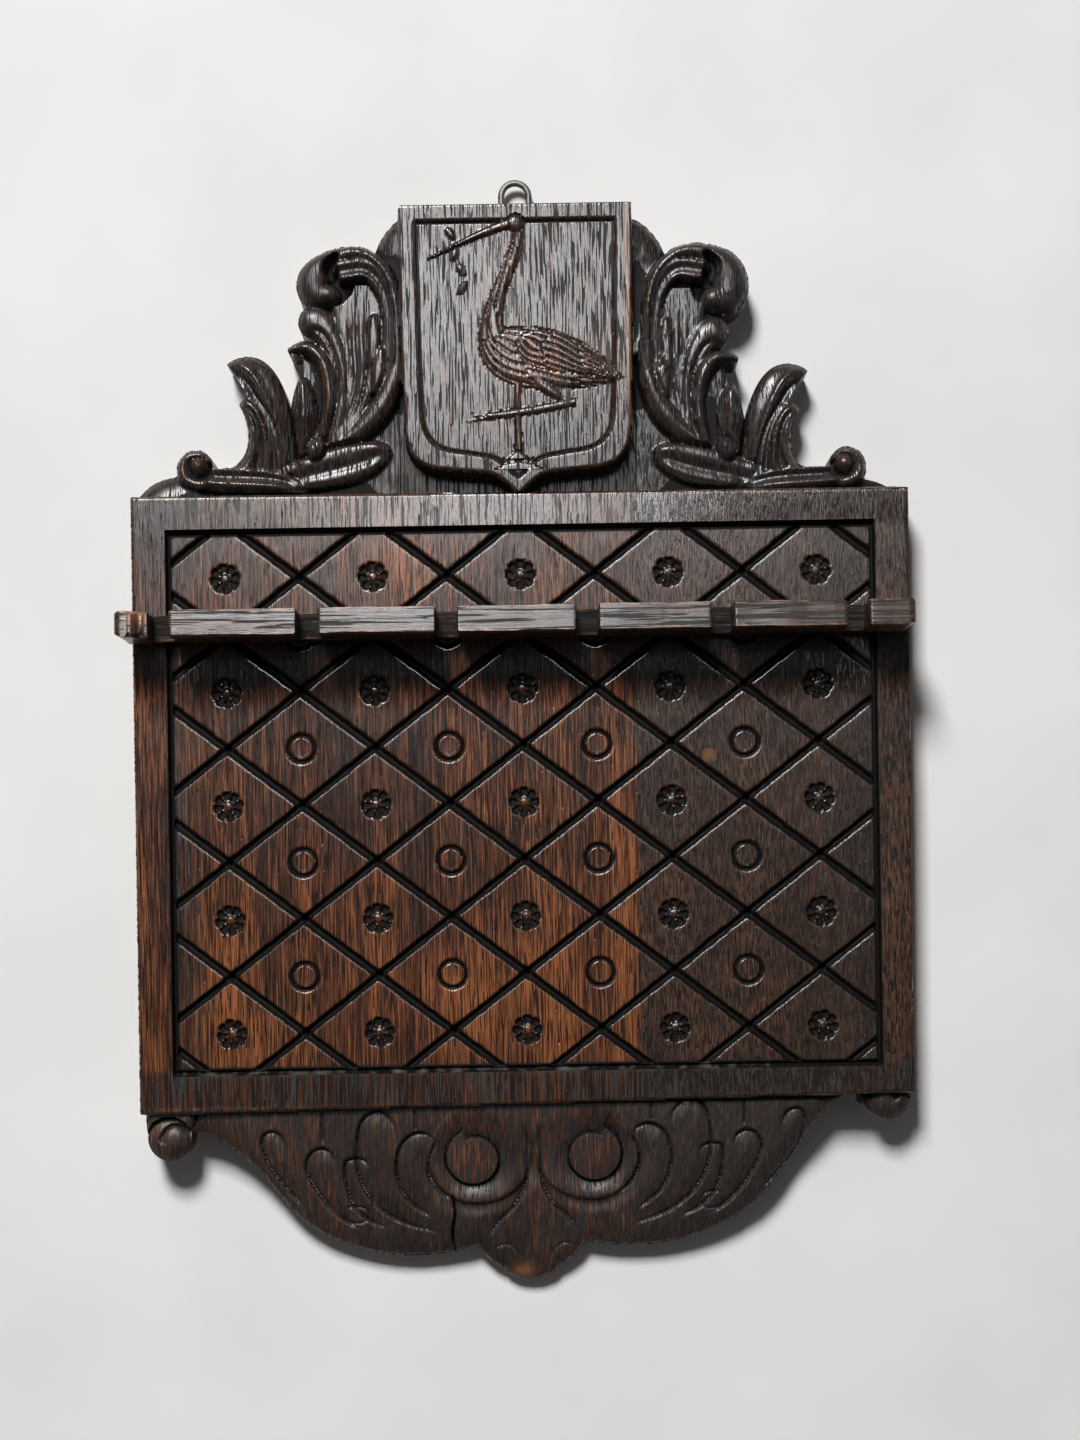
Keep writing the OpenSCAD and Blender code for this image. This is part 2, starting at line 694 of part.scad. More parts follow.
module spoon_rail() {
    left = -rail_shift - rail_l / 2;
    color(oak_red)
        stand()
            difference() {
                union() {
                    translate([left, rail_top - rail_h, board_t])
                        rotate([90, 0, 90])
                            linear_extrude(rail_l)
                                rotate([0, 0, 90]) mirror([0, 1]) rail_section();
                    // Tongue that seats in the sunk field
                    translate([-field_half + end_clear, rail_top - rail_h, field_face])
                        cube([2 * (field_half - end_clear), rail_h, field_sink + over]);
                }
                for (x = slot_xs)
                    translate([x - slot_w / 2, rail_top - rail_h - over, board_t + slot_web])
                        cube([slot_w, rail_h + 2 * over, rail_d]);
                for (x = screw_xs)
                    translate([x, rail_mid, 0])
                        cylinder(h = rail_screw_tip + end_clear, r = rail_screw_d / 2 + hole_clear);
            }
}

module rail_screws() {
    head_h = (rail_screw_head - rail_screw_d) / 2;
    slot = 1;
    color(iron)
        stand()
            for (x = screw_xs)
                translate([x, rail_mid, 0.3])
                    difference() {
                        union() {
                            cylinder(h = head_h, r1 = rail_screw_head / 2, r2 = rail_screw_d / 2);
                            cylinder(h = rail_screw_tip - 0.3, r = rail_screw_d / 2);
                        }
                        translate([-rail_screw_head, -slot / 2, -over])
                            cube([2 * rail_screw_head, slot, over + slot]);
                    }
}

// Bent wire loop: a bar in the knuckle, two legs and a round top
module hanger_loop() {
    r = wire_d / 2;
    arc_r = loop_w / 2;
    arc_y = crest_top + loop_rise - r - arc_r;
    color(iron)
        stand()
            translate([0, 0, bar_z]) {
                translate([0, bar_y, 0]) rotate([0, 90, 0])
                    cylinder(h = loop_w - 2 * bend_r, r = r, center = true);
                for (side = [-1, 1]) {
                    translate([side * (arc_r - bend_r), bar_y + bend_r, 0])
                        rotate([0, 0, side > 0 ? -90 : 180])
                            rotate_extrude(angle = 90) translate([bend_r, 0]) circle(r);
                    translate([side * arc_r, bar_y + bend_r, 0])
                        rotate([-90, 0, 0]) cylinder(h = arc_y - bar_y - bend_r, r = r);
                }
                translate([0, arc_y, 0])
                    rotate_extrude(angle = 180) translate([arc_r, 0]) circle(r);
            }
}

// Strap that is curled round the loop's bar and lies flat on the pocket's floor
module hanger_strap() {
    neck = 2 * knuckle_half;
    color(iron)
        stand()
            difference() {
                union() {
                    translate([0, bar_y, bar_z]) rotate([0, 90, 0])
                        cylinder(h = neck, r = knuckle_r, center = true);
                    translate([-neck / 2, bar_y - 6, pocket_d - strap_t])
                        cube([neck, 6, strap_t]);
                    translate([-strap_w / 2, bar_y - strap_l + strap_w / 2, pocket_d - strap_t])
                        cube([strap_w, strap_l - strap_w / 2 - 5, strap_t]);
                    translate([0, bar_y - strap_l + strap_w / 2, pocket_d - strap_t])
                        cylinder(h = strap_t, r = strap_w / 2);
                }
                translate([0, bar_y, bar_z]) rotate([0, 90, 0])
                    cylinder(h = neck + 2 * over, r = wire_d / 2 + bar_clear, center = true);
                for (y = hanger_screw_ys)
                    translate([0, y, 0])
                        cylinder(h = board_t, r = hanger_screw_d / 2 + hole_clear);
            }
}

module hanger_screws() {
    dome_r = (hanger_screw_head * hanger_screw_head / 4 + hanger_head_h * hanger_head_h)
             / (2 * hanger_head_h);
    seat = pocket_d - strap_t;
    color(iron)
        stand()
            for (y = hanger_screw_ys)
                translate([0, y, seat])
                    difference() {
                        union() {
                            intersection() {
                                translate([0, 0, dome_r - hanger_head_h]) sphere(dome_r);
                                translate([0, 0, -hanger_head_h])
                                    cylinder(h = hanger_head_h, r = hanger_screw_head);
                            }
                            cylinder(h = hanger_screw_tip - seat, r = hanger_screw_d / 2);
                        }
                        translate([-hanger_screw_head, -0.4, -hanger_head_h - over])
                            cube([2 * hanger_screw_head, 0.8, over + 0.9]);
                    }
}

back_board_left();
back_board_right();
edge_dowels();
spoon_rail();
rail_screws();
hanger_loop();
hanger_strap();
hanger_screws();
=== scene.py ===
"""Carved oak spoon rack: the boards' carving as a height field, the rail, and the procedural finishes."""

import math

import bpy
import numpy as np
from mathutils import Matrix, Vector

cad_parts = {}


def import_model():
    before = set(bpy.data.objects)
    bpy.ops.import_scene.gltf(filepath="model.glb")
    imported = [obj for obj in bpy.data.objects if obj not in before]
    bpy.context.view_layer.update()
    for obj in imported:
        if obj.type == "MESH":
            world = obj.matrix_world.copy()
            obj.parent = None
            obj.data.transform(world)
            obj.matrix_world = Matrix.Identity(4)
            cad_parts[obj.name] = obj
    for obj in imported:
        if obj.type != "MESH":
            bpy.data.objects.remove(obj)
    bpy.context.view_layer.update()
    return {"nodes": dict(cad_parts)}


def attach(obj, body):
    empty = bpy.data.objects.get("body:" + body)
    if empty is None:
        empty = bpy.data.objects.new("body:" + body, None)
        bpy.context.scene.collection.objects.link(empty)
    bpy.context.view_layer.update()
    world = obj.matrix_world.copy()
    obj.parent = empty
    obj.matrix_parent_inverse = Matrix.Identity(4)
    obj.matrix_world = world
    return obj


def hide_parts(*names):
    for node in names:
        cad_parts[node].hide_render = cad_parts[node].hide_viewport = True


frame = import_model()

# Sizes of the rack in millimetres, as in the part's source
PANEL_W, PANEL_H, PANEL_RISE, BOARD_T, SEAM_X = 300.0, 236.5, 3.0, 20.0, 44.0
BORDER_SIDE, BORDER_END, FIELD_SINK = 14.5, 14.5, 1.5
COLUMN_PITCH, ROW_PITCH = 57.1, 44.0
GROOVE_W, GROOVE_D = 2.8, 1.8
ROSETTE_D, ROSETTE_SINK = 12.0, 1.6
DISC_D, DISC_RING, DISC_SINK = 11.6, 1.3, 1.2
CREST_H, SHIELD_HALF, SHIELD_BORDER, SHIELD_SINK = 111.0, 45.0, 6.5, 2.0
BIRD_RISE, CREST_GROUND = 0.8, 11.5
APRON_H, LEFT_DROP, RIGHT_DROP, RIGHT_SLANT = 70.0, 20.0, 8.0, 0.065

PANEL_TOP = PANEL_H / 2 + PANEL_RISE / 2
PANEL_BOTTOM = PANEL_TOP - PANEL_H
PANEL_HALF = PANEL_W / 2
FIELD_HALF = PANEL_HALF - BORDER_SIDE
FIELD_TOP = PANEL_TOP - BORDER_END
FIELD_BOTTOM = PANEL_BOTTOM + BORDER_END
FIELD_FACE = BOARD_T - FIELD_SINK
CREST_TOP = PANEL_TOP + CREST_H
# The shield's ground is filled with old polish, and the bird rises from it
POLISH_FILL = 1.1
SHIELD_GROUND = BOARD_T - SHIELD_SINK + POLISH_FILL
BIRD_LOW, BIRD_TOP = SHIELD_GROUND - 0.6, BOARD_T + BIRD_RISE

# Grid of the carving, with one column of points on the seam
STEP = 0.5
GRID_X = SEAM_X + STEP * np.arange(-394, 217)
GRID_Z = -190.0 + STEP * np.arange(0, 846)
X, Z = np.meshgrid(GRID_X, GRID_Z)
OUTSIDE = -50.0


def unit(a):
    return np.clip(a, 0, 1)


def smooth(a):
    a = unit(a)
    return a * a * (3 - 2 * a)


def rounded(gap, r):
    """How far a rounded edge of radius r, as a part of r, has dropped at a distance from the edge."""
    lack = unit(1 - gap / r)
    return 1 - np.sqrt(1 - lack * lack)


def bezier(points, steps=20):
    p = np.array(points, float)
    t = np.linspace(0, 1, steps + 1)[:, None]
    s = 1 - t
    return s**3 * p[0] + 3 * s * s * t * p[1] + 3 * s * t * t * p[2] + t**3 * p[3]


def through(points, steps=6):
    """A smooth line through every given point."""
    p = np.array(points, float)
    ends = np.vstack([2 * p[0] - p[1], p, 2 * p[-1] - p[-2]])
    t = np.linspace(0, 1, steps, endpoint=False)[:, None]
    parts = []
    for a, b, c, d in zip(ends, ends[1:], ends[2:], ends[3:]):
        parts.append(b + 0.5 * t * (c - a + t * (2 * a - 5 * b + 4 * c - d + t * (3 * (b - c) + d - a))))
    return np.vstack(parts + [p[-1:]])


def edge(points):
    """Four points are a cubic's, more are points on the line."""
    return bezier(points) if len(points) == 4 else through(points)


def window(points, margin):
    low, high = np.min(points, 0) - margin, np.max(points, 0) + margin
    i0, i1 = np.searchsorted(GRID_X, (low[0], high[0]))
    j0, j1 = np.searchsorted(GRID_Z, (low[1], high[1]))
    return slice(j0, j1), slice(i0, i1)


def near(line, x, z):
    """Distance to a line, the place along it from 0 to 1, and the side, positive on its left."""
    a, b = line[:-1], line[1:]
    run = np.hypot(*(b - a).T)
    place = np.concatenate([[0], np.cumsum(run)])
    best = np.full(x.shape, 1e9)
    along = np.zeros(x.shape)
    side = np.zeros(x.shape)
    for k in range(len(run)):
        d = b[k] - a[k]
        px, pz = x - a[k, 0], z - a[k, 1]
        t = unit((px * d[0] + pz * d[1]) / max(run[k] ** 2, 1e-12))
        gap = np.hypot(px - t * d[0], pz - t * d[1])
        closer = gap < best
        best = np.where(closer, gap, best)
        along = np.where(closer, place[k] + t * run[k], along)
        side = np.where(closer, np.sign(d[0] * pz - d[1] * px), side)
    return best, along / place[-1], side


def spans(first, second, x, z):
    """Distances to a line out and a line back, their sum, and the place along the two from 0 to 1."""
    to_first, t_first, _ = near(first, x, z)
    to_second, t_second, _ = near(second[::-1], x, z)
    return to_first, to_second, to_first + to_second + 1e-9, (t_first + t_second) / 2


def inside(points, x, z):
    hit = np.zeros(x.shape, bool)
    for a, b in zip(points, np.roll(points, -1, 0)):
        crosses = (a[1] > z) != (b[1] > z)
        at = (b[0] - a[0]) * (z - a[1]) / (b[1] - a[1] + 1e-30) + a[0]
        hit ^= crosses & (x < at)
    return hit


def waves(x, z, size_x, size_z, seed, count=24):
    """Seeded smooth unevenness of about -1 to 1."""
    rng = np.random.default_rng(seed)
    total = np.zeros(x.shape)
    for _ in range(count):
        kx, kz = rng.normal(0, 1, 2) * 2 * np.pi / np.array((size_x, size_z)) / 1.4
        total += np.cos(kx * x + kz * z + rng.uniform(0, 2 * np.pi))
    return total / math.sqrt(count)


class Relief:
    """Depth of the carved front from the wall, how far each point lies inside the outline, and the near-black painted
    in the cuts: grime gathered there, and painted shade."""

    def __init__(self):
        self.depth = np.zeros(X.shape)
        self.reach = np.full(X.shape, OUTSIDE)
        self.black = np.zeros(X.shape)

    def extend(self, w, level):
        self.reach[w] = np.maximum(self.reach[w], level)

    # Paints near-black into a cut: grime, and painted shade.
    def paint_grime_and_shade(self, w, part):
        self.black[w] = np.maximum(self.black[w], part)

    def outline(self, points):
        w = window(points, 3)
        x, z = X[w], Z[w]
        gap = near(np.vstack([points, points[:1]]), x, z)[0]
        level = np.where(inside(points, x, z), gap, -gap)
        self.extend(w, level)
        return w, level

    def paint(self, w, mask, height):
        self.depth[w] = np.where(mask, height, self.depth[w])

    def leaf(self, first, second, tops, ridges=(), drops=(2.5, 2.5), rounds=(2.0, 2.0), root=0.0):
        """A leaf between a line out to its tip and one back to its root. tops are its heights at root, middle and
        tip, a ridge is a place across from 0 to 1, a height and a half width, and over root, a part of its length,
        the leaf rises out of what lies under it."""
        points = np.vstack([first, second])
        w, level = self.outline(points)
        to_first, to_second, wide, along = spans(first, second, X[w], Z[w])
        across = to_first / wide
        height = np.interp(along, (0, 0.5, 1), tops)
        for place, rise, half in ridges:
            height += rise * np.exp(-(((across - place) * wide / half) ** 2))
        for gap, drop, r in zip((to_first, to_second), drops, rounds):
            height -= drop * rounded(gap, r)
        keep = smooth(along / root) if root else 1.0
        under = np.where(self.depth[w] > 0, self.depth[w], height)
        self.paint(w, level > -STEP, keep * height + (1 - keep) * under)

    def stroke(self, line, depth, half, shelf=0.0, fade=4.0, taper=6.0):
        """A cut along a line. With a shelf, the carving on its left is sunk and rises again over fade."""
        w = window(line, max(half, fade) + 1)
        gap, along, side = near(line, X[w], Z[w])
        ends = smooth(taper * np.minimum(along, 1 - along))
        cut = depth * unit(1 - gap / half) ** 1.5
        if shelf:
            cut = cut + np.where(side > 0, shelf * unit(1 - gap / fade) ** 2, 0)
        self.depth[w] -= cut * ends

    def tube(self, line, low, tops, sink=False):
        """A rounded roll along a line of points and radii, with tops along it, or with sink a hollow of the same
        plan, dug down to the tops."""
        points, radii = line[:, :2], line[:, 2]
        w = window(points, radii.max() + 1)
        gap, along, _ = near(points, X[w], Z[w])
        run = np.concatenate([[0], np.cumsum(np.hypot(*np.diff(points, axis=0).T))])
        r = np.interp(along, run / run[-1], radii)
        top = np.interp(along, np.linspace(0, 1, np.size(tops)), np.atleast_1d(tops))
        crown = np.sqrt(unit(1 - (gap / r) ** 2))
        if sink:
            self.depth[w] -= np.clip(self.depth[w] - top, 0, None) * crown
        else:
            self.extend(w, r - gap)
            self.paint(w, gap < r, np.maximum(low + (top - low) * crown, self.depth[w]))

    def dome(self, at, r, low, top, squash=(1, 1), turn=0.0):
        """A round boss that rises from low to top."""
        at = np.array(at, float)
        w = window([at - r, at + r], 2)
        c, s = math.cos(turn), math.sin(turn)
        dx, dz = X[w] - at[0], Z[w] - at[1]
        gap = np.hypot((c * dx + s * dz) / squash[0], (c * dz - s * dx) / squash[1]) / r
        self.paint(w, gap < 1, low + (top - low) * np.sqrt(unit(1 - gap * gap)))

    def disc_outline(self, at, r):
        w = window([at - r, at + r], 3)
        self.extend(w, r - np.hypot(X[w] - at[0], Z[w] - at[1]))


def crest_points(points, side, shift):
    """Points across and above the panel's head, and their radii if any. The shift moves the right side's."""
    p = np.array(points, float)
    p[:, :2] = (p[:, :2] + np.multiply(shift, side > 0)) * (side, 1) + (0, PANEL_TOP)
    return p


# The crest's outer flank and the ball that it rolls into on each side: across, above the panel, and radius
CREST_ROLLS = {
    -1: [[46.6, 44, 2.6], [46.2, 60, 2.8], [46.8, 74, 2.9], [49.6, 84.6, 3], [55, 91.2, 3.2], [62, 93.8, 3.5],
         [69.6, 92, 4.6], [75.8, 87.6, 6.4], [78.2, 82.8, 7.2], [76.6, 79, 6.6], [72.8, 78.2, 4.6]],
    1: [[50.8, 42.5, 2.6], [50.6, 58.5, 2.8], [51.2, 72.5, 2.9], [54, 83, 3], [59.4, 89.7, 3.2], [66.4, 92.6, 3.6],
        [74, 91.4, 5], [80.4, 87, 7.2], [82.6, 80.6, 8], [81, 75.6, 7.4], [76.4, 74.4, 5.2]],
}


def crest_side(r, side):
    """One side of the crest. The right side's leaves stand a little off the left side's."""

    def leaf(shift, out, back, *args, **kw):
        lines = [crest_points(edge(p), side, shift) for p in (out, back)]
        r.leaf(*lines, *args, **kw)

    def cut(shift, points, *args, **kw):
        r.stroke(crest_points(edge(points), side, shift), *args, **kw)

    def tube(shift, points, *args, **kw):
        r.tube(crest_points(through(points), side, shift), *args, **kw)

    def boss(shift, at, radius, low, top, outline=0, **kw):
        middle = crest_points([at], side, shift)[0]
        if outline:
            r.disc_outline(middle, outline)
        r.dome(middle, radius, low, top, **kw)

    # Ground in the hollow, shoulder and ear
    leaf((0, -3), [[38, -4], [38, 30], [38, 70], [38, 96]], [[76, 84], [80, 30], [92, 16], [128, -4]],
         (9, 11.3, 13.2), drops=(0, 0))
    leaf((0, -5), [[112, 9], [138, 13.5], [147, 7], [150, -1]], [[150, -6], [140, -8], [130, -8], [112, -6]],
         (14, 14, 14), drops=(7, 0), rounds=(12, 1))
    leaf((3.5, -2.5), [[38, 110.4], [47, 110.4], [54, 101], [55.5, 93]], [[56, 80], [52, 70], [46, 60], [38, 50]],
         (17, 16, 14), drops=(6, 0), rounds=(9, 1))
    # Trunk and its flutes, and the two scales beside the scroll
    leaf((2, -3), [[72, 16], [68, 36], [68, 56], [72, 82]], [[54, 82], [50, 66], [49, 48], [68, 20]],
         (15.2, 15.4, 14.8), drops=(0.8, 0.5), rounds=(2, 2))
    for foot, bend, top in (((71, 22), (64, 46), (65.4, 74)), ((69.6, 24), (61.4, 46), (62, 76)),
                            ((67, 27), (58.6, 48), (58.8, 74))):
        cut((2, -3), [foot, ((foot[0] + bend[0]) / 2 - 1, 34), bend, ((bend[0] + top[0]) / 2, 60), top],
            0.8, 1, shelf=0.35, fade=2.2, taper=4)
    for out, back, top in (
            ([[57, 50], [52.5, 54], [52, 66], [55, 70.5]], [[55, 70.5], [57.5, 69], [58, 60], [57, 51]], 16.8),
            ([[56, 40], [51.5, 43], [50, 52], [52, 57.6]], [[52, 57.6], [54.8, 57], [56, 48], [56, 41]], 17.4)):
        leaf((2.5, -3), out, back, (top, top, top - 0.2), (), (2.2, 1.2), (1, 1))
    # Leaves, from the lobe under the roll down to the lowest one
    tube((-2.5, -6.5), [[73, 18, 3], [68.6, 34, 3.6], [67.6, 46, 4.4], [69.8, 57, 5.4], [74.4, 65.4, 6.4],
                        [78.4, 68.2, 6.5]], 11.8, (14.6, 15.8, 16.4, 16.6))
    cut((-2.5, -6.5), [[81, 65], [76, 63.5], [72, 57], [69.6, 46], [70.4, 34]], 0.9, 1.2, shelf=0.7, fade=3)
    cut((-2.5, -6.5), [[74, 71], [70, 65], [67, 56], [66, 46], [67.4, 34]], 0.8, 1.1, shelf=0.6, fade=2.5)
    leaf((-3, -6), [[76, 16], [70, 44], [76, 58], [83, 58]], [[83, 48], [82, 36], [82, 26], [82, 16]],
         (12.2, 12.2, 12.6), (), (0, 0))
    leaf((-0.5, -5), [[80, 14], [77, 32], [79, 44], [84, 47.4]], [[84, 47.4], [86.8, 44], [89, 36], [90, 14]],
         (13, 16.4, 16), [(0.45, 1.2, 1.4)], (3, 4), (3.4, 4.5))
    tube((-3, -6), [[87.2, 57, 1.7], [83.6, 58, 2.6], [79.2, 56.6, 3.1], [75.4, 52.2, 3.2], [73.4, 45, 3],
                    [73, 37, 2.8], [74.6, 28, 2.5], [78, 18, 1.8]], 12.2, (17.2, 18, 17.8, 15))
    cut((-3, -6), [[86, 56], [82, 56], [78.4, 53.2], [76, 48], [75, 40], [75.6, 31]], 0.8, 1.1)
    leaf((0, -6), [[86, 10], [86, 38], [94, 64], [113.3, 53]], [[113.3, 53], [108.5, 47.5], [104, 40], [93, 10]],
         (13.4, 16, 16), [(0.58, 1.8, 1.5), (0.82, -2.8, 2.2)], (5, 1.2), (6.5, 1.4))
    leaf((1, -5), [[117.5, 11.3], [104, 12], [102, 27], [108.6, 36.8]],
         [[108.6, 36.8], [105, 42], [93.5, 40], [91, 9]],
         (13, 15, 16), [(0.2, 0.9, 1.3), (0.4, -1.2, 1.2), (0.58, 1, 1.2), (0.78, -1.3, 1.2)],
         (4, 2.2), (4, 2))
    # Scroll: its broad foot, its outer flank rolled into the ball, and the channelled tongue inside it
    tube((3, -2.5), [[69, 21, 2.6], [60, 27, 4.4], [53.6, 34, 4.9], [49.4, 42, 4.4], [47.2, 50, 3.6],
                     [46.4, 60, 3]], 12.2, (15.6, 17, 17.4, 17))
    boss((5, -3), (73, 84), 10, 11, 12, outline=9)
    tube((0, 0), CREST_ROLLS[side], 11, (17, 18, 18.4, 19.2, 19, 18.2))
    tube((4.4, -1.5), [[66, 81, 1.8], [69.4, 82.6, 2.4], [71.8, 85.6, 2.6], [72.2, 89, 2.4], [69.8, 92.4, 1.5]],
         12.4, 12.8, sink=True)
    leaf((4, -1.6), [[48.6, 48], [48, 60], [48.2, 72], [50.4, 83], [55, 89], [60, 90.8], [65, 90.4], [69, 89.4]],
         [[67.4, 82.8], [63, 83.4], [59.6, 84], [56, 82], [53, 77], [51.6, 70], [51.2, 60], [51.6, 48]],
         (16.4, 17.8, 19.4), [(0.5, -1.3, 1.8)], (0.8, 2.4), (0.8, 1), root=0.12)
    # Stem, its volute, the base leaf and the drop
    leaf((2, -2.6), [[132, 9], [128, 1], [112, -0.5], [82, 1]], [[82, 1], [86, 11], [100, 11.5], [118.5, 11.5]],
         (15.5, 15.5, 14), [(0.42, 1.6, 1.7), (0.74, -1.6, 2.2), (0.95, 0.5, 1)], (5, 1.2), (6, 1.5))
    boss((2, -2.6), (125.6, 12), 7, 11, 12.5, outline=6.7)
    tube((2, -2.6), [[119, 7, 2.2], [124, 5.6, 2.8], [129, 7.6, 3], [130.4, 12, 2.6], [128.4, 16, 2.4],
                     [124, 17, 2.2], [120.6, 14.8, 1.6]], 11, (15.6, 16, 16.2, 15.6))
    boss((2, -2.6), (124.4, 12.6), 3.6, 13, 17.6)
    leaf((2.5, -2.5), [[96, 3], [72, 3], [54, 6], [49.8, 17.6]], [[49.8, 17.6], [52, 24], [70, 24], [96, 10]],
         (13.2, 13.6, 14.2), [(0.42, -0.9, 1.8), (0.75, 0.5, 2.4)], (2.6, 2.2), (3.5, 2.6), root=0.3)
    boss((2.5, -2.5), (78.3, 18.8), 5, 12.5, 17.6, squash=(0.72, 1), turn=side * 0.35)
    cut((2.5, -2.5), [[79.6, 22.6], [79, 19], [77.4, 15.4]], 0.9, 0.8, taper=4)


def shield_points(inset):
    w, y = SHIELD_HALF - inset, PANEL_TOP + inset
    side = np.vstack([[[w, CREST_TOP - inset], [w - 0.6, (CREST_TOP + y) / 2]],
                      bezier([[w - 1.5, y + 25], [w - 2, y + 13], [w - 7, y + 9.6], [w - 18, y + 8.7]]),
                      bezier([[14, y + 7.6], [7, y + 7], [5, y + 3], [0, y - 1]])])
    return np.vstack([side, side[-2::-1] * (-1, 1)])


def shield(r):
    """The shield, on a ground that slopes like the crest's."""
    w = window([[-SHIELD_HALF - 1, PANEL_TOP - 2], [SHIELD_HALF + 1, PANEL_TOP + 40]], 0)
    r.paint(w, True, CREST_GROUND - 1.2 + 0.05 * (Z[w] - PANEL_TOP - 20))
    r.extend(w, 3)
    w, level = r.outline(shield_points(0))
    height = BOARD_T - 0.9 * rounded(level, 0.9)
    inner = shield_points(SHIELD_BORDER)
    gap = near(np.vstack([inner, inner[:1]]), X[w], Z[w])[0]
    height = np.where(inside(inner, X[w], Z[w]), SHIELD_GROUND, height)
    height -= 0.7 * unit(1 - gap / 0.9)
    r.paint(w, level > -STEP, height)
    # Painted shade along the groove inside the shield's border.
    r.paint_grime_and_shade(w, 0.9 * unit(1.1 - gap / 0.5) * (level > 0))
    bird(r)


def feathers(across, along, count, depth):
    """Long feather cuts, in rows that begin between the ends of those before."""
    place = along * 2.6 + 0.5 * across
    row = np.floor(place)
    wave = np.cos(2 * np.pi * (across * count + 1.6 * along + 0.5 * (row % 2) + 0.15 * np.sin(11 * along)))
    end = np.abs(place % 1 - 0.5) * 2
    return -depth * unit((wave - 0.4) / 0.6) - 0.4 * depth * unit(end - 0.9) * 8


def bird_part(r, out, back, drop, r_edge, marks=None, lift=0.0):
    """A part between two lines, drop under the bird's highest part, with its edges' foot raised by lift. marks are
    its feathers' count and depth."""
    first, second = [edge(p) + (0, PANEL_TOP) for p in (out, back)]
    points = np.vstack([first, second])
    w = window(points, 2)
    to_first, to_second, wide, along = spans(first, second, X[w], Z[w])
    low, top = BIRD_LOW + lift, BIRD_TOP - drop
    height = top - (top - low) * rounded(np.minimum(to_first, to_second), r_edge)
    if marks:
        height += feathers(to_first / wide, along, *marks)
    r.paint(w, inside(points, X[w], Z[w]) & (height > r.depth[w] - 0.6), height)


# The bird: lines out and back, across the shield and above the panel, drop, edge radius, feathers and lift
BODY = (
    # Body, wing and neck, under the head
    ([[-14.8, 62], [-17, 38], [8, 35], [43, 42.5]], [[43, 42.5], [26, 60], [12, 66], [-8, 63]], 0.5, 6, (7, 0.4)),
    ([[0, 60], [-4, 44], [14, 47], [40, 41.8]], [[40, 41.8], [24, 60], [12, 66], [0, 60]], 0, 3, (6, 0.55), 1.2),
    ([[-14.8, 58], [-14, 76], [-2, 88], [-1.2, 101]], [[3.6, 102], [5, 88], [-8, 78], [-4.5, 60]],
     0.5, 2.6, (2, 0.5)),
)
LIMBS = (
    # Bill, standing leg, its mound and the rock at the shield's point, raised thigh and shank
    ([[-2, 105.4], [-10, 103.4], [-22, 97.4], [-34, 90.7]], [[-33.6, 89.9], [-22, 94.5], [-10, 99.8], [-2, 101.4]],
     0.4, 1.5),
    ([[-1.4, 42], [-1.2, 32], [-1.2, 24], [-1.6, 16]], [[1.8, 16], [1.3, 24], [1.3, 32], [1.6, 42]], 0.8, 1.2),
    ([[-6, 12.6], [-3, 13.4], [-2, 15.4], [0, 16.2]], [[0, 16.2], [2, 15.4], [3, 13.4], [6, 12.6]], 1, 1.4),
    ([[-11, 8.6], [-7, 10.8], [-3, 11.8], [0, 11.8]], [[0, 11.8], [3, 11.8], [7, 10.8], [11, 8.6]], 1.2, 1.6),
    ([[5, 43], [8, 38], [13, 36], [18, 34.4]], [[18, 34.4], [17, 38.5], [14, 41], [11, 43]], 0.6, 2),
    ([[22.5, 36.1], [12, 34.1], [0, 31.7], [-12, 30.7]], [[-12, 27.9], [0, 28.4], [12, 30.5], [22.5, 32.7]],
     0.8, 1.5),
)
TOES = ((-20, 26.6), (-18, 30.6), (-15, 25.4))
# Leaves of the sprig in its bill: across, above the panel, and turn
SPRIG = ((-25, 100, 35), (-23.5, 92, -20), (-21, 86, 30), (-20.6, 79, -30))


def bird(r):
    for part in BODY:
        bird_part(r, *part)
    r.dome((0.2, PANEL_TOP + 103.6), 3.7, BIRD_LOW, BIRD_TOP - 0.4)
    for part in LIMBS:
        bird_part(r, *part)
    for tip in TOES:
        bird_part(r, [[-11, 30], [-13, 29.8], [-16, 29], tip], [tip, [-16, 27.6], [-13, 28.2], [-11, 28.4]], 1, 0.9)
    for x, z, turn in SPRIG:
        r.dome((x, PANEL_TOP + z), 3.4, BIRD_LOW, BIRD_TOP - 0.9, (0.5, 1), math.radians(turn))


# The panel, a little out of square: its corners, the cut round its field, the lean of its top border round LEAN_X,
# and its grooves, with the way that each set runs and its width as a part of GROOVE_W
PANEL_CORNERS = np.array([[-PANEL_HALF, PANEL_TOP], [PANEL_HALF, PANEL_TOP - 0.6],
                          [PANEL_HALF - 1.2, PANEL_BOTTOM + 2.6], [-PANEL_HALF, PANEL_BOTTOM - 1.6]])
RIM_D, RIM_SLOPE, RIM_X = 3.0, 2.2, 0.2
LEAN, LEAN_X, LEAN_REACH = 0.064, -15, 62
GROOVE_WAYS, GROOVE_SWAY, GROOVE_FADE = ((-1, 1.0), (1, 0.87)), 0.12, 0.6


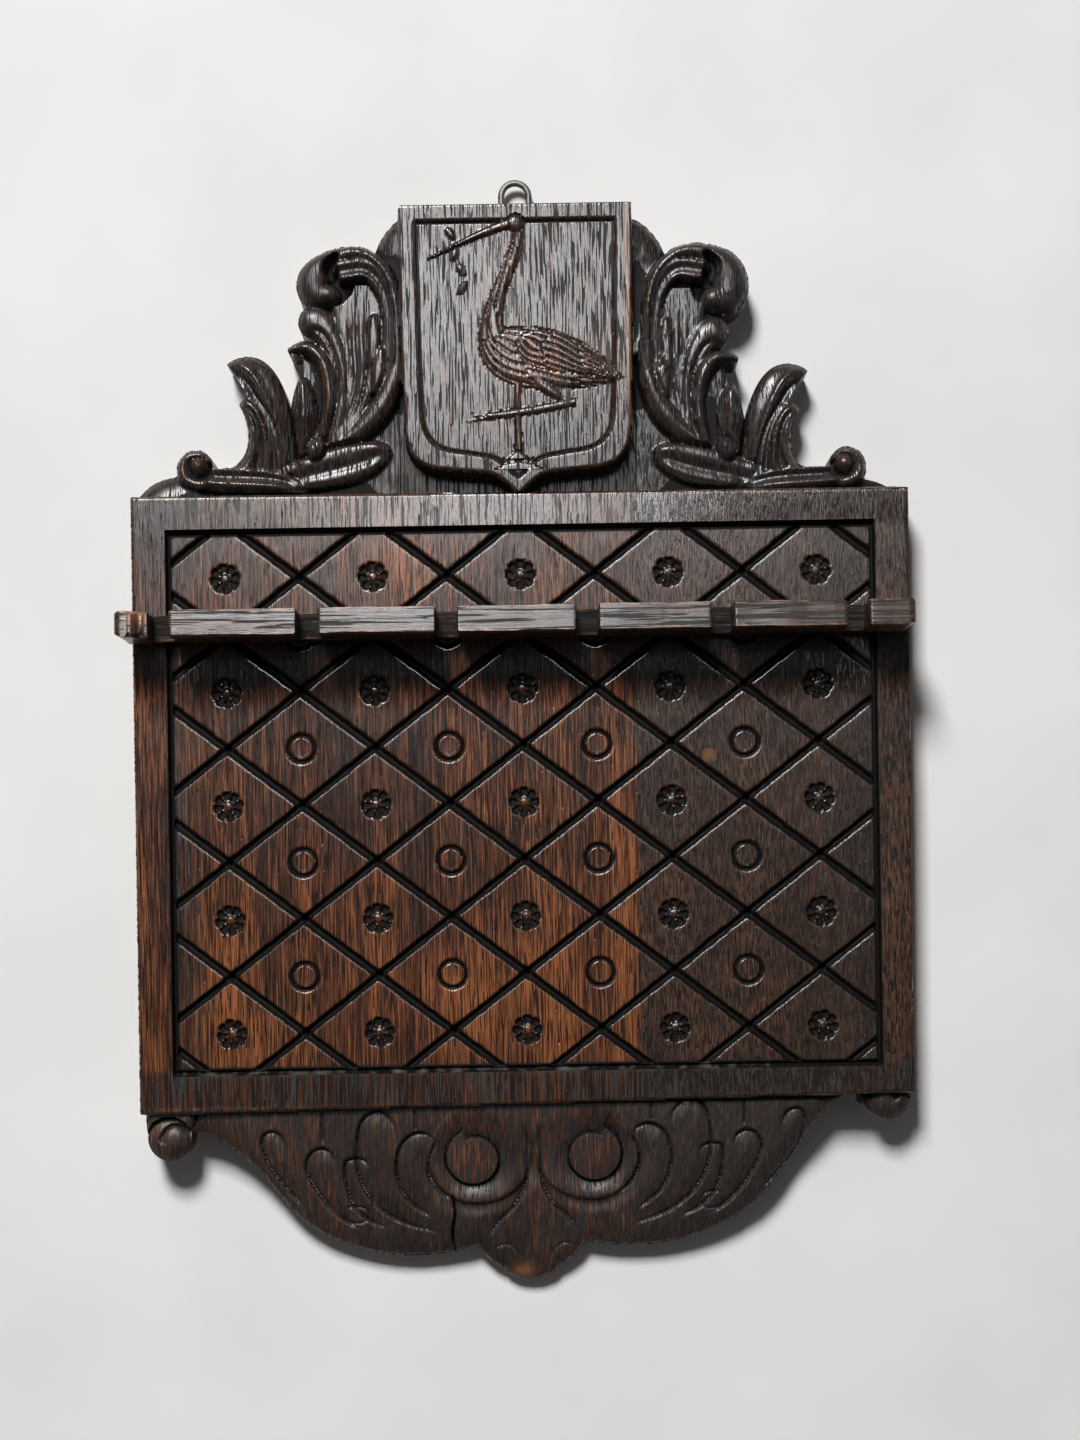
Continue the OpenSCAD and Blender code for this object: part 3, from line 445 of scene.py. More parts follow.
def panel(r):
    w, level = r.outline(PANEL_CORNERS)
    x, z = X[w], Z[w]
    height = BOARD_T - 1.0 * rounded(level, 1.0)
    rim = np.minimum.reduce([FIELD_HALF - np.abs(x), FIELD_TOP - z, z - FIELD_BOTTOM])
    height -= LEAN * np.exp(-(((x - LEAN_X) / LEAN_REACH) ** 2)) * np.clip(z - FIELD_TOP, 0, None)
    height = np.where(rim > 0, FIELD_FACE, height)
    height = np.minimum(height, np.where(np.abs(rim) < 1.5, BOARD_T - RIM_D + RIM_SLOPE * np.abs(rim + RIM_X), 99))
    # Near-black painted round the field's rim and along the grooves: old polish and grime in the cuts, and painted
    # shade.
    black = unit(1.9 - np.abs(rim + RIM_X))
    slope = math.sin(math.atan2(ROW_PITCH, COLUMN_PITCH))
    for way, wide in GROOVE_WAYS:
        place = x / COLUMN_PITCH - way * z / ROW_PITCH
        gap = np.abs((place % 1) - 0.5) * COLUMN_PITCH * slope + GROOVE_SWAY * waves(x, z, 9, 9, 21 + way)
        cut = GROOVE_D * np.exp(-((np.abs(gap) / (wide * GROOVE_W / 2.35)) ** 3))
        height -= np.where(rim > 0.5, cut, 0)
        # Painted shade across each groove, with the grime in it.
        dark = unit((0.85 + 1.15 * wide - gap) / GROOVE_FADE)
        black = np.maximum(black, np.where(rim > 0.5, dark, 0))
    for punch, start, count in ((rosette, -2, 5), (disc, -1.5, 4)):
        for i, j in np.ndindex(count, count):
            punch(height, black, x, z, (start + i) * COLUMN_PITCH, (start + j) * ROW_PITCH)
    r.paint(w, level > -STEP, height)
    r.paint_grime_and_shade(w, black)


def rosette(height, black, x, z, cx, cz):
    """A punched flower: eight hollow petals with ribs left between them, round a small button."""
    gap = np.hypot(x - cx, z - cz)
    turn = np.arctan2(z - cz, x - cx) + 0.2 * math.sin(cx + 2 * cz)
    fold = np.abs(np.cos(4 * turn))
    rim = ROSETTE_D / 2 * (0.88 + 0.12 * np.sqrt(fold))
    petal = unit(2.6 * fold - 0.35) * unit((gap - 1.0) / 1.2)
    sunk = (0.4 + (ROSETTE_SINK - 0.6) * petal) * unit((rim - gap) / 0.8)
    height -= np.where(gap < rim, sunk, 0)
    # Painted shade in the petals, with the grime in them.
    np.maximum(black, np.where(gap < rim + 0.2, 0.24 + 0.22 * petal, 0), out=black)


def disc(height, black, x, z, cx, cz):
    """A punched ring round a disc with a slightly rounded edge."""
    gap = np.hypot(x - cx, z - cz)
    mid = DISC_D / 2 - DISC_RING / 2
    away = np.abs(gap - mid)
    height -= DISC_SINK * unit(1.15 - away / (DISC_RING * 0.75))
    swell = 0.2 * unit((gap - mid + 2.2) / 2.2) * unit((mid - gap) / 0.5)
    height += np.where(gap < mid, swell, 0)
    # Painted shade in the ring, and a little darker on the disc.
    np.maximum(black, np.where(gap < mid, 0.1, 0), out=black)
    np.maximum(black, np.clip((0.95 - away) / 0.6, 0, 0.5), out=black)


def apron_points(points, side):
    """Points across and below the panel's foot. The right side rises with its distance from the middle."""
    p = np.array(points, float)
    slant = RIGHT_SLANT if side > 0 else 0.0
    return np.column_stack([side * p[:, 0], PANEL_BOTTOM - p[:, 1] + slant * p[:, 0]])


def apron_side(side, drop):
    """Four cubics, end to end, from the curl to the pendant's foot."""
    lift = (LEFT_DROP - drop) / 2
    p = [[131, 9 - lift], [114, 12 - lift], [103, 28], [95, 38.5], [82, 56], [52, 65], [21.5, 56.4], [18, 61],
         [14, 64.3], [11, 65.3], [9, 68.8], [5, 70], [0, 70]]
    return apron_points(np.vstack([bezier(p[k:k + 4])[min(k, 1):] for k in range(0, 12, 3)]), side)


# Cuts of the apron: points across and below the panel's foot, depth, half width, shelf and its fade. The shelf lies
# on the left of the way that the line runs on the left half.
APRON_CUTS = (
    ([[36.5, 15], [39, 11.8], [43.5, 10.6], [48.5, 13.4], [51.5, 19], [52, 28], [48, 37], [38, 45]],
     1.5, 1, 1.3, 8),
    ([[36, 13], [39, 20], [39.6, 27], [36.5, 33], [31, 37.5]], 1, 1, 1, 7),
    ([[51, 12.5], [53, 6.5], [58, 1.8], [64, 4.5], [67, 12], [67, 26], [62, 37], [52, 45], [35, 51]],
     1.2, 1, 1.3, 9),
    ([[62, 25.5], [64, 21.5], [68, 20.4], [72, 22.6], [71, 34], [66, 43], [55, 49]], 1.2, 1, 1.1, 7),
    ([[75.5, 24], [77, 18.4], [81, 16.2], [85.5, 18.6], [87, 25], [82, 35], [74, 44], [66, 49]],
     1.3, 1, 1.3, 8),
    ([[94, 18], [96.5, 11], [101, 9.4], [104, 13], [102, 22], [95, 32], [86, 42]], 1.1, 1, 1.1, 8),
    ([[44.5, 1], [44.2, 6], [44.6, 10]], 1.2, 0.8, 0, 1),
    ([[80, 1], [80.4, 9], [80.2, 15]], 1.2, 0.8, 0, 1),
    ([[73, 41.5], [70, 39.6], [65, 40.2], [63, 43], [66, 46], [71, 45.4], [73, 42.4]], 0.7, 0.8, 0, 1),
    ([[17, 53.5], [12, 46], [5.5, 39], [1.4, 30], [0.6, 18], [0.6, 6]], 1.2, 1, 1.4, 7),
    ([[15, 57], [10, 55.4], [6, 57.5], [3.5, 62]], 0.5, 0.8, 0, 1),
)

APRON_FOOT, APRON_FALL, APRON_EDGE, APRON_ROLL = 17.2, 10.5, 1.6, (2.6, 11)
APRON_CRACK = through([[-30.4, -152], [-29.6, -160], [-30.6, -167], [-29.8, -175]])
VOLUTE_AT, VOLUTE_EYE, VOLUTE_GROWS, VOLUTE_RIM, VOLUTE_DISH, VOLUTE_STEP = (21.5, 21.2), 8.2, 3.4, 17.0, 3.0, 1.1
CURL_X, CURL_R = 139.5, 8.4


def apron(r):
    left, right = apron_side(-1, LEFT_DROP), apron_side(1, RIGHT_DROP)
    top = PANEL_BOTTOM + 10
    points = np.vstack([[[left[0, 0], top]], left, right[-2::-1], [[right[0, 0], top]]])
    w, level = r.outline(points)
    below = unit((PANEL_BOTTOM + 1 - Z[w]) / APRON_H)
    height = APRON_FOOT - APRON_FALL * below**1.2
    height -= APRON_EDGE * rounded(level, APRON_EDGE) + APRON_ROLL[0] * rounded(level, APRON_ROLL[1])
    r.paint(w, level > -STEP, height)
    for side in (-1, 1):
        shift = np.array((0, 0) if side < 0 else (3.0, 0.6))
        for cut, *shape in APRON_CUTS:
            p = apron_points(through(cut) + shift, side)
            r.stroke(p if side < 0 else p[::-1], *shape)
            w = window(p, 2)
            # Painted shade along each cut.
            r.paint_grime_and_shade(w, 0.5 * unit(1.3 - near(p, X[w], Z[w])[0] / 0.7))
        spiral(r, apron_points([VOLUTE_AT + shift], side)[0], side)
    for side, drop in ((-1, LEFT_DROP), (1, RIGHT_DROP)):
        corner_scroll(r, side, drop, top)
    r.stroke(APRON_CRACK, 2.4, 0.9, taper=4)
    w = window(APRON_CRACK, 3)
    r.black[w] = unit(1.4 - near(APRON_CRACK, X[w], Z[w])[0] / 0.6)


def spiral(r, eye, side):
    """A volute: an eye whose lip winds outward, in a dish that rises to a rim with a step outside it."""
    w = window([eye - 26, eye + 26], 0)
    dx, dz = -side * (X[w] - eye[0]), Z[w] - eye[1]
    gap = np.hypot(dx, dz)
    turn = ((math.radians(112) - np.arctan2(dz, dx)) / (2 * math.pi)) % 1
    lip = VOLUTE_EYE + VOLUTE_GROWS * turn
    rim = VOLUTE_RIM + 4.0 * unit(dx / (gap + 0.1)) ** 2 + 3.0 * unit(dz / (gap + 0.1)) ** 2
    rise = unit((gap - lip) / (rim - lip))
    dish = VOLUTE_DISH * (1 - rise) ** 1.3 * smooth((gap - lip + 0.4) / 0.9)
    step = VOLUTE_STEP * smooth((gap - rim) / 1.2) * smooth((rim + 7 - gap) / 6)
    step = step * smooth((38 - gap - Z[w] + eye[1]) / 20)
    crown = 0.8 * unit(1 - (gap / 20) ** 2)
    r.depth[w] += np.where(r.depth[w] > 0, crown - dish - step, 0)
    # A painted shadow line round the eye's lip.
    line = unit(1.2 - np.abs(gap - lip - 0.3) / 0.7)
    r.paint_grime_and_shade(w, 0.9 * line * (r.reach[w] > 0))


def corner_scroll(r, side, drop, top):
    """The curl that hangs below each corner of the panel, under the sweep of the apron's rim."""
    at = np.array([side * CURL_X, PANEL_BOTTOM - drop + CURL_R])
    out, back = at[0] + side * CURL_R, at[0] - side * CURL_R
    neck = np.array([[out, at[1]], [out + side * 1.5, top], [side * 129, top], [side * 129, PANEL_BOTTOM - 4],
                     [back, at[1] + 3], [back, at[1]]])
    w, level = r.outline(neck)
    r.paint(w, level > -STEP, 17.5 - 3 * rounded(level, 4))
    r.disc_outline(at, CURL_R)
    r.dome(at, CURL_R + 0.4, 13, 18)
    curl = through([[8.4, 1.2], [6, 4.4], [2, 5.6], [-1.6, 3.4], [-3, 0], [-1, -2.4]])
    curl = np.column_stack([at[0] - side * curl[:, 0], at[1] + curl[:, 1]])
    r.stroke(curl if side < 0 else curl[::-1], 1.6, 1.1, shelf=1.2, fade=4)


NEIGHBOURS = ((0, 1), (0, -1), (1, 0), (-1, 0))

# How hollow a face is when it takes the near-black of grime and painted shade, how dull the boards' backs are,
# and the angle in degrees from which an edge is sharp
GRIME_AND_SHADE_HOLLOW, BACK_DULL, SHARP = 0.52, 1.4, 38


def spread_out(values, known, rounds=4):
    """Values carried a few points past the outline, from the nearest known ones."""
    values, known = np.where(known, values, 0), known.copy()
    for _ in range(rounds):
        total, count = np.zeros(values.shape), np.zeros(values.shape)
        for move in NEIGHBOURS:
            total += np.roll(values * known, move, (0, 1))
            count += np.roll(known, move, (0, 1))
        fresh = ~known & (count > 0)
        values[fresh] = total[fresh] / count[fresh]
        known |= fresh
    return values


def softened(depth, known):
    """Depths with the steps between grid points blurred a little."""
    soft = spread_out(depth, known)
    for axis in (0, 1):
        soft = (np.roll(soft, 1, axis) + 2 * soft + np.roll(soft, -1, axis)) / 4
    return np.where(known, soft, depth)


def carve():
    r = Relief()
    for side in (-1, 1):
        crest_side(r, side)
    r.depth = softened(r.depth, r.reach > 0)
    shield(r)
    apron(r)
    panel(r)
    return r


# Meshes
def linked(name, data):
    """A new object in the scene."""
    made = bpy.data.objects.new(name, data)
    bpy.context.scene.collection.objects.link(made)
    return made


def mean_round(values, k):
    """Mean over a square of 2k + 1 points."""
    s = np.pad(np.pad(values, k, mode="edge").cumsum(0).cumsum(1), ((1, 0), (1, 0)))
    m = 2 * k + 1
    return (s[m:, m:] - s[:-m, m:] - s[m:, :-m] + s[:-m, :-m]) / m**2


def between(grid, col, row):
    """Values at places between a grid's points."""
    i = np.clip(np.floor(col).astype(int), 0, grid.shape[1] - 2)
    j = np.clip(np.floor(row).astype(int), 0, grid.shape[0] - 2)
    s, t = col - i, row - j
    low = grid[j, i] * (1 - s) + grid[j, i + 1] * s
    return low * (1 - t) + (grid[j + 1, i] * (1 - s) + grid[j + 1, i + 1] * s) * t


def cell_corners(grid):
    """The values at the four corners of every cell."""
    return grid[:-1, :-1], grid[1:, :-1], grid[:-1, 1:], grid[1:, 1:]


def snapped(reach, cells, fixed_col):
    """Grid places, with those on the outline's steps moved onto the outline itself."""
    row, col = np.indices(reach.shape).astype(float)
    count = sum(corner.astype(int) for corner in cell_corners(np.pad(cells, 1)))
    rim = (count > 0) & (count < 4)
    c0, r0 = col[rim], row[rim]
    c, r = c0.copy(), r0.copy()
    slope_r, slope_c = np.gradient(reach)
    free = np.where(c0 == fixed_col, 0.0, 1.0)
    for _ in range(4):
        level, sc, sr = (between(g, c, r) for g in (reach, slope_c, slope_r))
        sc = sc * free
        pull = level / np.maximum(sc * sc + sr * sr, 0.05)
        c = np.clip(c - pull * sc, c0 - 0.6, c0 + 0.6)
        r = np.clip(r - pull * sr, r0 - 0.6, r0 + 0.6)
    col[rim], row[rim] = c, r
    return col, row


def squares(cells, flat):
    """(row, column, size) of every cell, with flat ones joined into larger squares."""
    free, left, found = cells & flat, cells.copy(), []
    for size in (8, 4, 2):
        rows, cols = free.shape[0] // size, free.shape[1] // size
        part = free[:rows * size, :cols * size]
        whole = part.reshape(rows, size, cols, size).all((1, 3))
        found += [(j * size, i * size, size) for j, i in np.argwhere(whole)]
        taken = np.kron(whole, np.ones((size, size), bool))
        part &= ~taken
        left[:rows * size, :cols * size] &= ~taken
    return found + [(j, i, 1) for j, i in np.argwhere(left)]


def faces_of(found, used, index, turn):
    """Faces round the squares, with every used point on their sides, so that no gaps open."""
    faces = []
    for j, i, n in found:
        ring = [(j, i + k) for k in range(n)] + [(j + k, i + n) for k in range(n)]
        ring += [(j + n, i + n - k) for k in range(n)] + [(j + n - k, i) for k in range(n)]
        faces.append([index[p] for p in (ring[::-1] if turn else ring) if used[p]])
    return faces


def corners_used(found, shape):
    used = np.zeros(shape, bool)
    j, i, n = np.array(found).T
    for corner in ((j, i), (j, i + n), (j + n, i), (j + n, i + n)):
        used[corner] = True
    return used


def flat_cells(height, fields, cells, limit=0.004):
    """Cells round which the surface is plane, the finish even, and the outline a cell away."""
    bend = np.zeros(height.shape)
    for axis in (0, 1):
        bend += np.abs(np.roll(height, 1, axis) + np.roll(height, -1, axis) - 2 * height)
        for f in fields:
            bend += 0.2 * np.abs(np.roll(f, 1, axis) - f)
    plain = (bend < limit) & np.all(cell_corners(np.pad(cells, 1)), axis=0)
    return np.all(cell_corners(plain), axis=0)


def slab(name, reach, high, low, place, fields, columns=None, fixed_col=-1):
    """A closed mesh between two height fields inside the outline reach = 0, which the grid's border lies outside of.
    place turns columns, rows and heights into points. fields are vertex values of the upper side, and the lower one
    is only dull. Faces that are hollow enough take the second material, the near-black of grime and painted shade."""
    cells = sum(cell_corners(reach)) > 0
    col, row = snapped(reach, cells, fixed_col)
    if columns:
        cells[:, :columns[0]] = False
        cells[:, columns[1]:] = False
    known = reach > 0
    high, low = spread_out(high, known), spread_out(low, known)
    points, faces, values, sides, start = [], [], {k: [] for k in fields}, {}, 0
    for turn, height in ((False, high), (True, low)):
        even = [] if turn else list(fields.values())
        found = squares(cells, flat_cells(height, even, cells))
        used = corners_used(found, reach.shape)
        index = np.full(reach.shape, -1)
        index[used] = start + np.arange(used.sum())
        start += used.sum()
        c, r = col[used], row[used]
        points.append(place(c, r, between(height, c, r)))
        faces += faces_of(found, used, index, turn)
        for k, f in fields.items():
            values[k].append(np.full(c.size, BACK_DULL * (k == "dull")) if turn else between(f, c, r))
        sides[turn] = index
    for move, a, b in (((1, 0), (0, 0), (0, 1)), ((-1, 0), (1, 1), (1, 0)),
                       ((0, 1), (1, 0), (0, 0)), ((0, -1), (0, 1), (1, 1))):
        for j, i in np.argwhere(cells & ~np.roll(cells, move, (0, 1))):
            p, q = (j + a[0], i + a[1]), (j + b[0], i + b[1])
            faces.append([sides[False][p], sides[True][p], sides[True][q], sides[False][q]])
    mesh = bpy.data.meshes.new(name)
    mesh.from_pydata(np.vstack(points).tolist(), [], faces)
    mesh.shade_smooth()
    mesh.set_sharp_from_angle(angle=math.radians(SHARP))
    for k, parts in values.items():
        mesh.attributes.new(k, "FLOAT", "POINT").data.foreach_set("value", np.concatenate(parts))
    face_hollow = np.concatenate(values["hollow"])
    # Faces hollow enough take the near-black material: grime, and painted shade.
    mesh.polygons.foreach_set("material_index", [int(face_hollow[f].mean() > GRIME_AND_SHADE_HOLLOW) for f in faces])
    mesh.validate()
    return linked(name, mesh)


# Back of the boards, as depths from the wall: the hanger's housing and the countersunk screw holes
RAIL_DROP, RAIL_H = 46.5, 10.5
RAIL_MID = PANEL_TOP - RAIL_DROP - RAIL_H / 2
SLOT_XS = (-136.45, -80.45, -27.95, 25.25, 76.05, 127.05)
SCREW_XS = [(SLOT_XS[i] + SLOT_XS[i + 1]) / 2 for i in (0, 2, 4)]
POCKET_HALF, POCKET_FOOT, POCKET_D, SCREW_R, SCREW_D = 8.15, 191.75, 5.32, 4.35, 2.6


def back_depth():
    low = np.zeros(X.shape)
    low[(np.abs(X) < POCKET_HALF) & (Z > POCKET_FOOT)] = POCKET_D
    for x in SCREW_XS:
        low = np.maximum(low, np.clip(SCREW_R - np.hypot(X - x, Z - RAIL_MID), 0, SCREW_D))
    return low


def board_place(c, r, h):
    return np.column_stack([GRID_X[0] + STEP * c, -h, GRID_Z[0] + STEP * r]) / 1000


def blob(x, z, at, size):
    return np.exp(-(((x - at[0]) / size[0]) ** 2) - ((z - at[1]) / size[1]) ** 2)


def band(value, low, high, soft):
    return smooth((value - low) / soft + 0.5) * smooth((high - value) / soft + 0.5)


# Patches worn to a warmer brown: strength, place and size
WARM_PATCHES = (
    (0.85, (-28, -76), (66, 42)), (0.35, (-45, 95), (60, 30)), (0.6, (-118, -70), (10, 40)),
    (0.5, (12, PANEL_TOP + 48), (22, 9)), (0.35, (-40, -52), (24, 22)), (0.6, (-56, -130), (11, 13)),
    (0.6, (-21, -138), (8, 8)), (0.6, (25, -136), (8, 8)), (0.6, (62, -132), (6, 14)))
PALE_SPOT, PALE_R = (72, 17), 3


def tones(x, z):
    """The finish over the boards. Worn to a warmer brown, blackest and worn bare run from 0 to 1, and dull is under 0
    where the polish shines most."""
    crest, apron = smooth((z - PANEL_TOP) / 3 + 0.5), smooth((PANEL_BOTTOM - z) / 3 + 0.5)
    warm = sum(part * blob(x, z, at, size) for part, at, size in WARM_PATCHES)
    warm += 0.9 * blob(x, z, (37, -25), (7, 75)) * (x < SEAM_X)
    warm += 0.6 * band(np.abs(x), FIELD_HALF, 160, 4) * band(z, -100, 30, 60)
    ends = 0.4 * smooth((x - 95) / 40) * (x < 136) + 0.4 * smooth((-120 - x) / 14) * (x > -136)
    black = np.maximum.reduce([crest, 0.62 * apron, 0.85 * band(z, PANEL_BOTTOM, FIELD_BOTTOM, 4),
                               0.5 * band(z, FIELD_TOP, PANEL_TOP, 4), ends])
    on_bird = blob(x, z, (14, PANEL_TOP + 50), (26, 13)) + blob(x, z, (-6, PANEL_TOP + 80), (9, 24))
    black = black * (1 - 0.6 * unit(on_bird))
    dull = np.maximum(apron, 0.15 * crest * smooth((np.abs(x) - SHIELD_HALF) / 2 + 0.5))
    dull -= 0.6 * band(z, 40, 66, 14) + 0.55 * band(z, FIELD_TOP, PANEL_TOP, 4) * smooth((x - 36) / 16)
    for side in (-1, 1):
        dull += 0.7 * blob(x, z, (side * 77, PANEL_TOP + 82), (11, 13))
        dull -= 0.75 * blob(x, z, (side * 22 + 2, PANEL_BOTTOM - 35), (9, 4))
    spot = np.hypot(x - PALE_SPOT[0], z - PALE_SPOT[1]) < PALE_R
    bare = blob(x, z, (-3, -183), (4, 3)) + 0.9 * blob(x, z, PALE_SPOT, (2.2, 2.2)) ** 0.5 * spot
    bare += 0.8 * band(x, SEAM_X - 1.4, SEAM_X, 0.8) * band(z, PANEL_TOP + 22, CREST_TOP - 2, 10)
    return unit(warm), unit(black), dull, unit(bare)


def boards():
    r = carve()
    warm, dim, dull, bare = tones(X, Z)
    carved = (Z > PANEL_TOP) | (Z < PANEL_BOTTOM)
    plain = spread_out(r.depth, r.reach > 0, 12)
    # hollow and deep paint shade into hollows and recesses, together with the grime gathered in them.
    hollow = unit((mean_round(plain, 6) - plain) / 0.75)
    deep = unit((mean_round(plain, 17) - plain) / 4.5)
    deep = deep * np.where(Z < PANEL_BOTTOM, smooth((r.reach - 1) / 9), 1)
    # Less painted shade on the ground beside and under the shield.
    deep = deep * (1 - 0.6 * band(np.abs(X), -9, SHIELD_HALF + 12, 8) * band(Z, PANEL_TOP, PANEL_TOP + 34, 8))
    shielded = (Z > PANEL_TOP + 8) & (np.abs(X) < SHIELD_HALF - 1)
    hollow = np.maximum(np.maximum(hollow * (1 - 0.6 * carved), deep) * (1 - 0.65 * shielded), r.black)
    # The band under the rail is painted darker: the rail's painted shadow over darker stain.
    hollow = np.maximum(hollow, 0.36 * band(Z, 46, 66, 12) * band(X, -146, 146, 20))
    wear = unit((plain - mean_round(plain, 2)) / 0.35) * (1 - 0.7 * dull) * np.where(carved, 0.35, 0.6)
    uneven = np.where(carved & (np.abs(X) > SHIELD_HALF), 0.05, 0.0) + 0.07 * (Z < PANEL_BOTTOM)
    depth = r.depth + uneven * waves(X, Z, 9, 26, 3) + 0.4 * uneven * waves(X, Z, 4, 7, 4)
    # A pale line painted along the field's lower rim, which faces up: dust, with a painted highlight.
    dust_and_highlight = band(Z, FIELD_BOTTOM - 1.6, FIELD_BOTTOM + 0.4, 1.2) * (np.abs(X + 20) < FIELD_HALF - 22)
    fields = {"hollow": mean_round(hollow, 1), "wear": mean_round(wear, 1), "dim": dim, "warm": warm, "dull": dull,
              "bare": bare, "dust_and_highlight": dust_and_highlight}
    low = back_depth()
    seam = int(round((SEAM_X - GRID_X[0]) / STEP))
    left = slab("carved_board_left", r.reach, depth, low, board_place, fields, (0, seam), seam)
    right = slab("carved_board_right", r.reach, depth, low, board_place, fields, (seam, len(GRID_X)), seam)
    return left, right


# Rail, as a slab seen from above
RAIL_X, RAIL_DEEP, RAIL_Z = (-153.0, 149.0), (20.0, 42.0), (RAIL_MID - RAIL_H / 2, RAIL_MID + RAIL_H / 2)
RAIL_STEP, RAIL_ROUND, RAIL_CORNER, SLOT_HALF, SLOT_ROOT = 0.6, 1.2, 2.5, 4.3, 25.0
RAIL_GX = np.arange(RAIL_X[0] - 3, RAIL_X[1] + 3, RAIL_STEP)
RAIL_GY = np.arange(-RAIL_DEEP[1] - 3, -FIELD_FACE + 3, RAIL_STEP)


def rail_place(c, r, h):
    """The front leans back a little towards its top, and the slots' roots are undercut."""
    y = RAIL_GY[0] + RAIL_STEP * r
    lean = 0.07 * smooth((-y - 36) / 5) - 0.2 * smooth((y + 28) / 2) * smooth((-21 - y) / 2)
    return np.column_stack([RAIL_GX[0] + RAIL_STEP * c, y + lean * np.clip(h - RAIL_Z[0], 0, None), h]) / 1000


def rail():
    x, y = np.meshgrid(RAIL_GX, RAIL_GY)
    sway = (0.12 * waves(x, y, 22, 40, 11) + 0.16).clip(0.02)
    ends = np.minimum(x - RAIL_X[0], RAIL_X[1] - x) - sway
    front = y + RAIL_DEEP[1] - sway
    corner = RAIL_CORNER - np.hypot(np.clip(RAIL_CORNER - ends, 0, None), np.clip(RAIL_CORNER - front, 0, None))
    reach = np.minimum.reduce([ends, front, corner, -RAIL_DEEP[0] - y])
    chip = np.hypot((x - SLOT_XS[0] + SLOT_HALF) / 1.3, y + RAIL_DEEP[1] + 1.5) - 5 + 0.6 * waves(x, y, 3, 3, 15)
    reach = np.minimum(reach, chip)
    for s in SLOT_XS:
        cut = np.minimum(SLOT_HALF - np.abs(x - s - 0.3 * np.sin(y)), -SLOT_ROOT - y)
        reach = np.minimum(reach, -cut)
        front = np.minimum(front, -cut)
    drop = np.maximum(RAIL_ROUND * rounded(front, RAIL_ROUND), 2.6 * rounded(ends, 3.0))
    drop = np.maximum(drop, 1.8 * rounded(chip, 2.5))
    uneven = 0.1 * waves(x, y, 30, 12, 12)
    high = RAIL_Z[1] - 0.25 - drop * (1 + 0.3 * waves(x, y, 14, 30, 13)).clip(0.5, 1.6) + uneven
    low = RAIL_Z[0] + 0.25 + drop * (1 + 0.3 * waves(x, y, 11, 30, 14)).clip(0.5, 1.6) + uneven
    bare = 0.7 * smooth(1.2 - np.abs(chip) / 1.6)
    # Painted shade, with grime, deepening behind the slots' roots towards the back.
    return slab("slotted_rail", reach, high.clip(None, RAIL_Z[1]), low.clip(RAIL_Z[0], None), rail_place,
                {"bare": bare, "hollow": smooth((y + SLOT_ROOT + 2) / 4) * 0.5})


# Materials
class Shade:
    """A short way to write the nodes of a material or a world. Each call makes a node and gives its output."""

    def __init__(self, owner):
        owner.use_nodes = True
        self.owner, self.tree = owner, owner.node_tree
        self.place = self.node("TexCoord").outputs["Object"]

    def put(self, socket, value):
        if isinstance(value, bpy.types.NodeSocket):
            self.tree.links.new(value, socket)
        else:
            socket.default_value = (*value, 1.0) if socket.type == "RGBA" else value

    def node(self, kind, inputs=None, **settings):
        n = self.tree.nodes.new("ShaderNode" + kind)
        for key, value in settings.items():
            setattr(n, key, value)
        for key, value in (inputs or {}).items():
            self.put(n.inputs[key], value)
        return n

    def math(self, what, a, b=0.0):
        return self.node("Math", {0: a, 1: b}, operation=what).outputs[0]

    def times(self, a, b):
        return self.math("MULTIPLY", a, b)

    def total(self, *terms):
        """The sum of pairs of a value and its weight."""
        result = self.times(*terms[0])
        for term in terms[1:]:
            result = self.math("ADD", result, self.times(*term))
        return result

    def mix(self, part, a, b):
        return self.node("Mix", {0: part, 6: a, 7: b}, data_type="RGBA").outputs[2]

    def span(self, value, low, high, to_low=0.0, to_high=1.0):
        return self.node("MapRange", {"Value": value, "From Min": low, "From Max": high,
                                      "To Min": to_low, "To Max": to_high}).outputs[0]

    def noise(self, size_mm, detail=2.0, rough=0.5, shift=(0, 0, 0)):
        """Noise whose lumps have these sizes along the axes, in millimetres."""
        m = self.node("Mapping", {"Vector": self.place, "Location": shift, "Scale": [1000 / s for s in size_mm]})
        return self.node("TexNoise", {"Vector": m.outputs[0], "Scale": 1.0, "Detail": detail,
                                      "Roughness": rough}).outputs["Fac"]

    def along(self, axis):
        return self.node("SeparateXYZ", {"Vector": self.place}).outputs[axis]

    def value(self, name):
        return self.node("Attribute", attribute_name=name).outputs["Fac"]

    def bump(self, height, strength, distance_mm):
        return self.node("Bump", {"Height": height, "Strength": strength, "Distance": distance_mm / 1000}).outputs[0]

    def shaded(self, inputs):
        """The material, with its shader's inputs linked or set."""
        for key, value in inputs.items():
            self.put(self.tree.nodes["Principled BSDF"].inputs[key], value)
        return self.owner

    def show(self, part, first, second, output):
        """A mix of two shaders as what the tree shows."""
        both = self.node("MixShader", {0: part, 1: first.outputs[0], 2: second.outputs[0]})
        self.put(self.tree.nodes[output].inputs["Surface"], both.outputs[0])


def shade(name):
    return Shade(bpy.data.materials.new(name))


# Colours of stain, of open pores, and of the near-black painted in hollows: grime, with painted shade.
STAIN, SOOT, GRIME_AND_SHADE = (0.0095, 0.0065, 0.0055), (0.005, 0.004, 0.0035), (0.004, 0.003, 0.0026)
# The pale colour of that line: dust, with a painted highlight.
DUST_AND_HIGHLIGHT = (0.3, 0.28, 0.26)


